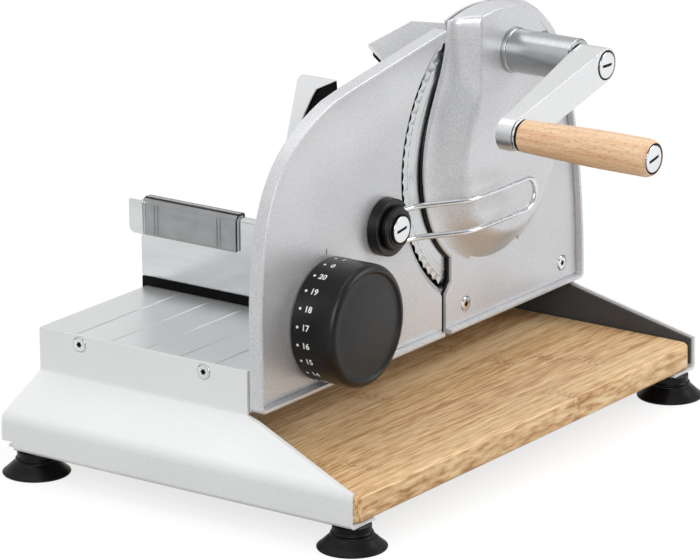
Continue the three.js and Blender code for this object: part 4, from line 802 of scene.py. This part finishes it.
housingShape = {
    "radius": 90.6,  # from the blade's axis to the right edge
    "faceDepth": 13.8,  # from the dome's front to the plate's face
    "rimDepth": 9.8,  # from the dome's front to the rim's front
    "rim": 2.4,
    "rimRound": 0.7,
    "corner": 4,
    "waist": 5.6,
    "waistLow": 23,
    "waistHigh": 29.3,
    "lip": 69,
    "dome": 46,
    "domeSlope": 1.16,
    "left": 32,
    "right": 27.1,
    "draft": 0.67,
    "crown": 98.2,
    "crownX": -14.4,
    "crownZ": -8.4,
    "starZ": 10,  # the rays that draw the dome start this far above the blade's axis
    "frontRound": 3,  # dome's front edge
    "blockRound": 1.1,  # gear block's front edge
    "edgeTop": (-1, -67),  # right edge, from the widest point: it leans in from here
    "edgeLean": ((-4.3, -20), (-13.2, 63)),
    "hidden": ((27.1, 79.6), (5, 70), (-25, 20), (-25, -20)),  # outline under the dome, from the axis
    "filled": 60,  # above this the recess beside the gear block is filled
    "footFillet": 4.5,
    "blendFront": 14,  # how softly dome and gear block meet in front, and how much softer at the plate
    "blend": 16,
    "domeDeep": 1.8,  # how far the dome and its hollow run on behind the plate's face
    "hollowDeep": 3.8,
    "wall": 2.5,
    "sleeveHole": 8.3,
}


def smoothMax(a, b, width):
    h = max(width - abs(a - b), 0) / width
    return max(a, b) + h * h * width / 4


def rayToCircle(dx, dz, cx, cz, radius):  # from the star point, offsets from the blade's axis
    ox, oz = -cx, housingShape["starZ"] - cz
    b = ox * dx + oz * dz
    return -b + math.sqrt(max(b * b - (ox * ox + oz * oz - radius * radius), 0))


def domeReach(turn, depth, shrink, blend):  # how far the dome and the gear block reach along a ray
    dx, dz = math.cos(turn), math.sin(turn)
    grow = housingShape["draft"] * depth
    dome = housingShape["dome"] + housingShape["domeSlope"] * depth - shrink * 1.5
    circle = rayToCircle(dx, dz, 0, 0, dome)
    side = housingShape["right"] + grow if dx > 0 else housingShape["left"] + grow
    toSide = (side - shrink * 1.2) / max(abs(dx), 1e-4)
    crown = housingShape["crown"] - shrink
    toCrown = rayToCircle(dx, dz, housingShape["crownX"], housingShape["crownZ"], crown)
    toFloor = housingShape["starZ"] / max(-dz, 1e-4) if dz < 0 else 1e9
    corner = -smoothMax(-toSide, -toCrown, 5)
    block = min(corner, toFloor)
    onCrown = min(max((toSide - toCrown) / 6 + 0.5, 0), 1)
    return smoothMax(circle, block, blend), onCrown


def blockShare(turn):  # 1 where the gear block stands out of the dome, 0 on the dome
    bare = domeReach(turn, 0, 0, 0.1)[0]
    circle = rayToCircle(math.cos(turn), math.sin(turn), 0, 0, housingShape["dome"])
    return min(max((bare - circle) / 5, 0), 1)


def domeRow(row, edge, deeper):  # depth, how far back from the outline, and how far out at the foot
    face, fillet = housingShape["faceDepth"], housingShape["footFillet"]
    if row <= 6:  # round front edge
        turn = math.pi / 2 * row / 6
        return edge * (1 - math.cos(turn)), edge * (1 - math.sin(turn)), 0
    if row <= 10:  # drafted wall
        return edge + (face - fillet - edge) * (row - 6) / 4, 0, 0
    if row <= 18:  # soft foot that runs out on the plate
        t = (row - 10) / 8
        return face - fillet + fillet * (1 - (1 - t) ** 1.6) + 0.25 * t, 0, fillet * 0.9 * t * t
    return face + deeper, 0, fillet * 0.9


def domeBody(name, shrink):
    axis = middleOf("blade")
    front = boxOf("housing_shell")[0].y + shrink
    startZ = axis.z + housingShape["starZ"]
    steps, flat = 288, housingShape["blendFront"]
    deeper = housingShape["hollowDeep"] if shrink else housingShape["domeDeep"]
    corners = [(axis.x, front, startZ)]
    turns = [2 * math.pi * i / steps for i in range(steps)]
    shares = [blockShare(turn) for turn in turns]
    soft, hard = housingShape["frontRound"], housingShape["blockRound"]
    edges = [soft + (hard - soft) * share for share in shares]
    for inner in (0.3, 0.6, 0.85):
        for turn, edge in zip(turns, edges):
            reach = (domeReach(turn, 0, shrink, flat)[0] - edge) * inner
            corners.append((axis.x + reach * math.cos(turn), front, startZ + reach * math.sin(turn)))
    for row in range(20):
        for turn, edge in zip(turns, edges):
            depth, back, flare = domeRow(row, edge, deeper)
            blend = flat + housingShape["blend"] * depth / housingShape["faceDepth"]
            reach, onCrown = domeReach(turn, depth, shrink, blend)
            reach += flare * (1 - onCrown) - back
            corners.append((axis.x + reach * math.cos(turn), front + depth, startZ + reach * math.sin(turn)))
    last = len(corners) - steps
    faces = band(0, 1, 1, steps)
    for start in range(1, last, steps):
        faces += band(start, steps, start + steps, steps)
    faces.append(list(range(last, len(corners))))
    return meshFrom(name, corners, faces)


def buildHousing():
    low, high = boxOf("housing_shell")
    axis = middleOf("blade")
    face = low.y + housingShape["faceDepth"]
    rimFront = low.y + housingShape["rimDepth"]
    rear = high.y
    right = axis.x + housingShape["radius"]
    bottom = low.z
    left = boxOf("rear_plate")[0].x  # left edge below the blade
    waist = left + housingShape["waist"]
    edgeTop = (right + housingShape["edgeTop"][0], axis.z + housingShape["edgeTop"][1])
    leans = [(right + x, axis.z + z) for x, z in housingShape["edgeLean"]]
    crownFoot, *hidden = [(axis.x + x, axis.z + z) for x, z in housingShape["hidden"]]
    corner = rounded([(left - 20, bottom), (right, bottom, housingShape["corner"]), edgeTop], 8)
    crown = bezier(edgeTop, *leans, crownFoot, 48)
    hidden += [(left - 12.4, axis.z - 55), (left - 20, axis.z - 60)]
    outline = [*corner, *crown[1:], *hidden]
    radius, rim = housingShape["rimRound"], housingShape["rim"]
    rows = [(0.3, rear), (0, rear - 0.3)]
    rows += [(radius * c, rimFront + radius * s) for c, s in quarter(5)]
    rows += [(rim - 0.4, rimFront), (rim - 0.1, rimFront + 0.12), (rim, rimFront + 0.5)]
    groove = stopShape["groove"]
    rows += [(rim + 0.2, face + groove), (rim + 0.2 + groove, face + groove), (rim + 0.3 + groove, face)]
    body = plate("housingShell", outline, rows)
    pocket = [p for p in crown if p[1] > axis.z + housingShape["filled"]]
    pocket = drawnIn([*pocket, (axis.x + 15, axis.z + housingShape["filled"])], 1.2)
    combine(body, [plate("pocket", pocket, [(0, rimFront + 0.3), (0, face + 1)])], "UNION")
    trim = [
        (left - 40, bottom - 5),
        (left, bottom - 5),
        (left, bottom + housingShape["waistLow"]),
        (waist, bottom + housingShape["waistHigh"]),
        (waist, axis.z - 36),
        (left - 40, axis.z - 36),
    ]
    combine(body, [plate("trim", trim, [(0, rimFront - 3), (0, rear + 3)])])
    lip = housingShape["lip"]
    disc = [(0, face + 0.1), (lip - 1.5, face + 0.1), (lip - 0.7, face + 0.25), (lip - 0.15, face + 0.7)]
    disc += [(lip, rear - 0.4), (lip - 0.2, rear), (0, rear)]
    combine(body, [turned("lip", disc, axis, steps=240), domeBody("dome", 0)], "UNION")
    crank = middleOf("crank_sleeve")
    cuts = [domeBody("hollow", housingShape["wall"])]
    cuts.append(rod(housingShape["sleeveHole"], crank, low.y - 1, low.y + 4, 64))
    for side in ("left", "right"):
        screw = middleOf(f"housing_screw_{side}")
        cuts.append(rod(lobedShape["head"] + 0.45, screw, face - 1, face + 1.1))
        cuts.append(rod(lobedShape["shank"] + 0.3, screw, face, rear + 1, 32))
    dress(combine(body, cuts), castPaint, "housing_shell", sharp=38)
    # the black backing, left proud of the shell's edge, is painted shade: it draws the dark gap between
    # housing and blade
    dressCopy("housing_back", absBlack, 0.2, 2)
    dressCopy("rear_plate", castPaint, 0.25, 2)


bladeShape = {
    "hole": 10,
    "waves": 80,
    "wave": 1.4,
    "bevel": 9,
    "thin": 0.95,
    "stepsPerWave": 10,
    "screwShank": 5,
    "screwHead": 2.6,
    "screwSlot": (11, 1.3),  # half its length and width
}


def buildBlade():
    low, high = boxOf("blade")
    axis = (low + high) / 2
    radius = radiusOf("blade")
    steps = bladeShape["waves"] * bladeShape["stepsPerWave"]
    start = radius - bladeShape["bevel"]
    rings = [  # radius, depth from the front, share of the wave, flute depth
        (bladeShape["hole"], 0, 0, 0),
        (radius * 0.6, 0, 0, 0),
        (start - 0.3, 0, 0, 0),
        (start, 0.12, 0, 0),
        (start + 0.4, 0.2, 0, 0),
        (radius - 4.4, 0.42, 0, 0),
        (radius - 3.8, 0.5, 0.3, 0.12),
        (radius - 2.2, 0.66, 0.6, 0.22),
        (radius, bladeShape["thin"], 1, 0.05),
        (radius, high.y - low.y, 1, 0),
        (radius * 0.6, high.y - low.y, 0, 0),
        (bladeShape["hole"], high.y - low.y, 0, 0),
    ]
    corners, faces = [], []
    for reach, depth, share, flute in rings:
        for i in range(steps):
            turn = 2 * math.pi * i / steps
            dip = abs(math.sin(turn * bladeShape["waves"] / 2))
            r = reach - bladeShape["wave"] * share * dip
            x, z = axis.x + r * math.cos(turn), axis.z + r * math.sin(turn)
            corners.append((x, low.y + depth + flute * dip, z))
    for start in range(0, len(corners), steps):
        faces += band(start, steps, (start + steps) % len(corners), steps)
    dress(meshFrom("bladeDisc", corners, faces), groundSteel, "blade", sharp=14)
    low, high = boxOf("blade_screw")
    head, shank, front = radiusOf("blade_screw"), bladeShape["screwShank"], high.y
    foot = front - bladeShape["screwHead"]
    profile = [(0, low.y), (shank, low.y), (shank, foot), (head, foot)]
    profile = rounded([*profile, (head, front - 1.2, 0.6), (head - 2, front, 0.8), (0, front)], 5)
    knob = turned("bladeScrew", profile, axis, steps=120)
    long, half = bladeShape["screwSlot"]
    slot = bar(axis.x - long, axis.x + long, front - 1, front + 1, axis.z - half, axis.z + half)
    dress(combine(knob, [slot]), absBlack, "blade_screw")
    paintNode("blade_gear", nylon)
    for node in ("blade_axle", "drive_gear", "crank_shaft"):
        paintNode(node, machined)


crankShape = {
    "armEdge": 0.7,
    "sleeve": 12.6,
    "flange": 13.4,
    "flangeThick": 2.5,
    "spigot": 8,
    "bore": 5.3,
    "axle": 4,
    # black ring in front of the collar, painted shade of the gap at the grip's end
    "gapShadeRing": 0.9,
    "gripBore": 4.4,
    "gripNeck": 9.2,
}


def buildCrank():
    dressCopy("crank_arm", castAluminium, crankShape["armEdge"], 4, 40, 45)
    low, high = boxOf("crank_sleeve")
    seat = boxOf("housing_shell")[0].y - 0.3
    radius, flange, bore, spigot = (crankShape[key] for key in ("sleeve", "flange", "bore", "spigot"))
    step = seat - crankShape["flangeThick"]
    profile = [(bore, low.y), (radius - 0.9, low.y), (radius - 0.9, low.y + 0.7), (radius, low.y + 0.9, 0.3)]
    profile += [(radius, step, 0.3), (flange, step, 0.8), (flange, seat), (spigot, seat)]
    profile = rounded([*profile, (spigot, high.y), (bore, high.y), (bore, low.y)], 5)
    sleeve = turned("crankSleeve", profile, middleOf("crank_sleeve"), steps=144)
    dress(sleeve, turnedAluminium, "crank_sleeve")
    slottedCap("crank_cap", -1)
    slottedCap("handle_cap", 12)

    low, high = boxOf("handle_axle")
    axle, collar = crankShape["axle"], radiusOf("handle_axle")
    gripLow, gripHigh = boxOf("handle_grip")
    handle = middleOf("handle_grip")
    front, back = gripHigh.y + 0.3, boxOf("crank_arm")[0].y - 0.3
    shadeRingBack = front + crankShape["gapShadeRing"]
    profile = [(0, low.y), (axle, low.y), (axle, shadeRingBack), (collar, shadeRingBack, 0.3), (collar, back, 0.3)]
    profile = rounded([*profile, (axle, back), (axle, high.y), (0, high.y)], 4)
    dress(turned("handleAxle", profile, handle), chrome, "handle_axle")
    # painted shade: a black ring stands in for the shadow in the gap between grip and collar
    inner, outer, end = axle + 0.1, collar - 0.4, shadeRingBack - 0.05
    ring = [(inner, front), (outer, front), (outer, end), (inner, end), (inner, front)]
    dressTrim(turned("handleGapShade", ring, handle), absBlack, "crank")

    bore, neck, outer = crankShape["gripBore"], crankShape["gripNeck"], radiusOf("handle_grip")
    front, back, rim = gripLow.y, gripHigh.y, capShape["ring"] + 0.05
    length = back - front
    throat = rounded([(bore, back), (neck, back, 0.9), (neck, back - 1.2)], 4)
    swell = [(neck, back - 1.2), (9.9, back - length * 0.3), (outer, back - length * 0.45)]
    swell = bezier(*swell, (outer, back - length * 0.72), 24)
    nose = [(outer, back - length * 0.8), (outer, front + 1.5, 7), (rim + 0.6, front, 1.2), (rim, front)]
    nose = rounded([*nose, (rim, front + 2.4)], 8)
    profile = [(bore, back), *throat[1:], *swell[1:], *nose, (bore, front + 2.4), (bore, back)]
    dress(turned("handleGrip", profile, handle, steps=144), beech, "handle_grip", sharp=50)

    for name, node in (
        ("crankCapRing", "crank_cap"),
        ("handleCapRing", "handle_cap"),
        ("deflectorCapRing", "deflector_screw"),
    ):
        front, inner, outer = boxOf(node)[0].y, capShape["radius"] + 0.03, capShape["ring"]
        ring = [(inner, front + 0.6), (outer, front + 0.7), (outer, front + 2.2), (inner, front + 2.2)]
        dressTrim(turned(name, [*ring, ring[0]], middleOf(node)), glossBlack, bodyOf[node])
    print("housing, blade and crank ready")


# Deflector

deflectorShape = {
    "wire": 1.6,
    "startX": -2,
    "leadX": 14.5,
    "kinkX": 45,
    "kinkRound": 26,
    "endRound": 9.5,
    "sides": 20,
    "bore": 3,
    "well": 1.7,  # how deep the slotted screw sits in the cap
    "wireGap": 0.1,
}


def tube(name, path, radius, sides):  # round wire along a smooth path
    corners, faces = [], []
    normal = Vector((0, 0, 1))
    for i, here in enumerate(path):
        ahead = (path[min(i + 1, len(path) - 1)] - path[max(i - 1, 0)]).normalized()
        normal = (normal - ahead * normal.dot(ahead)).normalized()
        side = ahead.cross(normal)
        for k in range(sides):
            turn = 2 * math.pi * k / sides
            corners.append(here + (normal * math.cos(turn) + side * math.sin(turn)) * radius)
    last = len(corners) - sides
    for start in range(0, last, sides):
        faces += band(start, sides, start + sides, sides)
    faces += [list(range(sides)), list(range(last, len(corners)))]
    return meshFrom(name, corners, faces)


def buildDeflector():
    knob = middleOf("deflector_cap")
    low, high = boxOf("deflector_wire")
    wire, kink, end = (deflectorShape[key] for key in ("wire", "kinkRound", "endRound"))
    nearY, farY = high.y - wire, low.y + wire
    half = (high.z - low.z) / 2 - wire
    tip = high.x - wire
    start, lead, bend = (knob.x + deflectorShape[key] for key in ("startX", "leadX", "kinkX"))
    plan = rounded([(start, nearY), (lead, nearY, kink), (bend, farY, kink), (tip - half, farY)], 10)
    upper = [Vector((p[0], p[1], knob.z + half)) for p in plan]
    lower = [Vector((p[0], p[1], knob.z - half)) for p in reversed(plan)]
    bow = rounded([(tip - half, half), (tip, half, end), (tip, -half, end), (tip - half, -half)], 10)
    path = upper + [Vector((p[0], farY, knob.z + p[1])) for p in bow[1:-1]] + lower
    path = [p for i, p in enumerate(path) if i == 0 or (p - path[i - 1]).length > 0.05]
    dress(tube("deflectorWire", path, wire, deflectorShape["sides"]), chrome, "deflector_wire", sharp=60)

    low, high = boxOf("deflector_cap")
    radius, bore, ring = radiusOf("deflector_cap"), deflectorShape["bore"], capShape["ring"]
    front, back = low.y, high.y
    well = front + deflectorShape["well"]
    lip = [(ring, front), (ring + 1.3, front, 0.4), (ring + 1.5, front + 0.8, 0.2)]
    side = [(radius - 0.9, front + 0.9, 0.3), (radius, front + 1.8, 0.6), (radius, back), (bore, back)]
    profile = rounded([(bore, well), (ring, well), *lip, *side, (bore, well)], 4)
    cap = turned("deflectorCap", profile, knob, steps=120)
    room = wire + deflectorShape["wireGap"]
    grooves = []
    for z in (knob.z + half, knob.z - half):
        grooves.append(bar(knob.x - 3, knob.x + radius + 2, nearY - room, back + 1, z - room, z + room))
    dress(combine(cap, grooves), absBlack, "deflector_cap")

    low, high = boxOf("deflector_seat")
    seat, front, back = radiusOf("deflector_seat"), low.y, high.y
    inside, side = (bore, front + 0.4), [(seat, back - 0.4), (seat - 0.4, back), (bore, back)]
    face = [(radius + 0.5, front + 0.4), (radius + 0.8, front, 0.3), (seat - 0.3, front, 0.9)]
    profile = rounded([inside, *face, *side, inside], 5)
    dress(turned("deflectorSeat", profile, knob, steps=120), absBlack, "deflector_seat")
    slottedCap("deflector_screw", 8)
    print("deflector ready")


# Carriage

guardShape = {
    "ribs": (0.13, 0.8),  # where they stand, as shares of the guard's length
    "rib": 0.8,
    "proud": 0.25,
    "sunk": 0.5,
    "foot": 1,
    "topGap": 4,
}


def buildCarriage():
    dressCopy("carriage_plate", brightAnodised, 0.4, sharp=40)
    dressCopy("carriage_slider", glossBlack, 0.3, 2)
    dressCopy("thumb_guard", smoky, 0.45, 3, 40, 45)
    dressCopy("food_holder_core", glossBlack, 0.5)
    shell = dressCopy("food_holder_shell", brightPaint, 0.45)
    shell.data.materials.append(castPaint)
    for face in shell.data.polygons:  # painted light and shade: the cheek gets the bright paint, the roof that leans back from it the darker cast paint
        face.material_index = 1 if face.normal.z > 0.3 else 0
    low, high = boxOf("thumb_guard")
    half = guardShape["rib"] / 2
    face, back = low.x - guardShape["proud"], low.x + guardShape["sunk"]
    foot, top = low.z + guardShape["foot"], high.z - guardShape["topGap"]
    for i, share in enumerate(guardShape["ribs"]):
        y = high.y + (low.y - high.y) * share
        rib = bar(face, back, y - half, y + half, foot, top)
        rib.name = f"guardRib{i + 1}"
        dressTrim(softenEdges(rib, 0.2, 2), smoky, "carriage")
    print("carriage ready")


buildBase()
buildScrews()
buildFront()
buildHousing()
buildBlade()
buildCrank()
buildDeflector()
buildCarriage()


# Stage

stageShape = {
    "camera": (-2.24896, -1.58966, 0.92929),
    "turns": (54.068, 16.795, -0.428),  # right of +Y, downwards, and round the line of sight
    "lens": 260.81,
}


def buildCamera():
    yaw, pitch, roll = (math.radians(angle) for angle in stageShape["turns"])
    data = bpy.data.cameras.new("camera")
    data.sensor_fit = "HORIZONTAL"
    data.sensor_width = 36
    data.lens = stageShape["lens"]
    data.clip_end = 30
    camera = newObject("camera", data)
    aim = Matrix.Rotation(-yaw, 4, "Z") @ Matrix.Rotation(math.pi / 2 - pitch, 4, "X")
    place = Matrix.Translation(stageShape["camera"])
    camera.matrix_world = place @ aim @ Matrix.Rotation(roll, 4, "Z")
    bpy.context.scene.camera = camera


lampShape = [  # name, place, size in metres, power in watts
    ("keySoftbox", (-1.7, -1.25, 1.05), 1.4, 25),
    ("sideSoftbox", (0.95, -1.15, 0.8), 0.8, 10.5),
    ("topSoftbox", (0.1, 0.4, 2.3), 1.8, 14),
]
skyShape = {
    "heights": [(0, 0.16), (0.05, 0.22), (0.13, 0.42), (0.9, 0.62)],
    "lobes": [  # direction, cosines where it starts and is full, how much light it adds
        ((0.78, 0.56, 0.28), 0.6, 0.95, 0.34),
        ((-0.5, -0.85, 0.2), 0.8, 0.96, -0.3),
        ((-0.27, 0.56, 0.78), 0.7, 0.95, 0.2),
        ((-0.8, 0.56, 0.3), 0.6, 0.95, 0.3),
    ],
}


def buildLight():
    for name, place, size, power in lampShape:
        data = bpy.data.lights.new(name, "AREA")
        data.size = size
        data.energy = power
        lamp = newObject(name, data)
        lamp.location = place
        lamp.rotation_euler = (Vector((0, 0, 0.1)) - Vector(place)).to_track_quat("-Z", "Y").to_euler()
    world = bpy.data.worlds.new("studio")
    bpy.context.scene.world = world
    world.use_nodes = True
    tree = world.node_tree
    tree.nodes.clear()
    direction = add(tree, "TexCoord", {}).outputs["Generated"]
    height = add(tree, "SeparateXYZ", {0: direction}).outputs["Z"]
    level = add(tree, "ValToRGB", {0: height}, skyShape["heights"])
    for towards, start, full, amount in skyShape["lobes"]:
        aim = list(Vector(towards).normalized())
        facing = add(tree, "VectorMath", {0: direction, 1: aim}, operation="DOT_PRODUCT").outputs["Value"]
        values = {0: facing, 1: start, 2: full, 3: 0, 4: amount}
        lobe = add(tree, "MapRange", values, interpolation_type="SMOOTHSTEP")
        level = add(tree, "Math", {0: level, 1: lobe}, operation="ADD")
    soft = add(tree, "Background", {"Color": level, "Strength": 1})
    white = add(tree, "Background", {"Color": "#ffffff", "Strength": 1})
    seen = add(tree, "LightPath", {}).outputs["Is Camera Ray"]
    add(tree, "OutputWorld", {"Surface": add(tree, "MixShader", {0: seen, 1: soft, 2: white})})


floorShape = {
    "reach": 6000,
    "thick": 10,
    "tone": "#a2a2a2",
    "shadow": 0.25,
    "darkSide": (-0.81, -0.586, 0),  # the unlit end of the room, seen in reflections alone
    "dim": 0.55,
}


def buildFloor():  # white to the eye and in reflections, a plain grey bounce for the rest
    reach = floorShape["reach"]
    corners = [(-reach, -reach), (reach, -reach), (reach, reach), (-reach, reach)]
    floor = plate("studioFloor", corners, [(0, -floorShape["thick"]), (0, 0)], "xy")
    material, tree, place = startMaterial("white paper sweep", "floor")
    rays = add(tree, "LightPath", {}).outputs
    seen = rays["Is Camera Ray"]
    for ray in ("Is Glossy Ray", "Is Transmission Ray"):
        seen = add(tree, "Math", {0: seen, 1: rays[ray]}, operation="ADD", use_clamp=True)
    tones = {0: seen, 6: floorShape["tone"], 7: "#ffffff"}
    tone = add(tree, "Mix", tones, data_type="RGBA").outputs[2]
    paper = add(tree, "BsdfPrincipled", {"Base Color": tone, "Roughness": 0.9})
    ground = add(tree, "VectorMath", {0: place, 1: (1, 1, 0)}, operation="MULTIPLY")
    heading = add(tree, "VectorMath", {0: ground}, operation="NORMALIZE")
    aim = {0: heading, 1: floorShape["darkSide"]}
    facing = add(tree, "VectorMath", aim, operation="DOT_PRODUCT").outputs["Value"]
    values = {0: facing, 1: 0, 2: 0.95, 3: 0, 4: floorShape["dim"]}
    dim = add(tree, "MapRange", values, interpolation_type="SMOOTHSTEP")
    loss = add(tree, "Math", {0: dim, 1: rays["Is Glossy Ray"]}, operation="MULTIPLY")
    strength = add(tree, "Math", {0: 1, 1: loss}, operation="SUBTRACT")
    glow = add(tree, "Emission", {"Color": "#ffffff", "Strength": strength})
    share = add(tree, "Math", {0: seen, 1: 1 - floorShape["shadow"]}, operation="MULTIPLY")
    add(tree, "OutputMaterial", {"Surface": add(tree, "MixShader", {0: share, 1: paper, 2: glow})})
    floor.data.materials.append(material)


buildCamera()
buildLight()
buildFloor()
bpy.context.scene.view_settings.view_transform = "Standard"
print("stage ready")
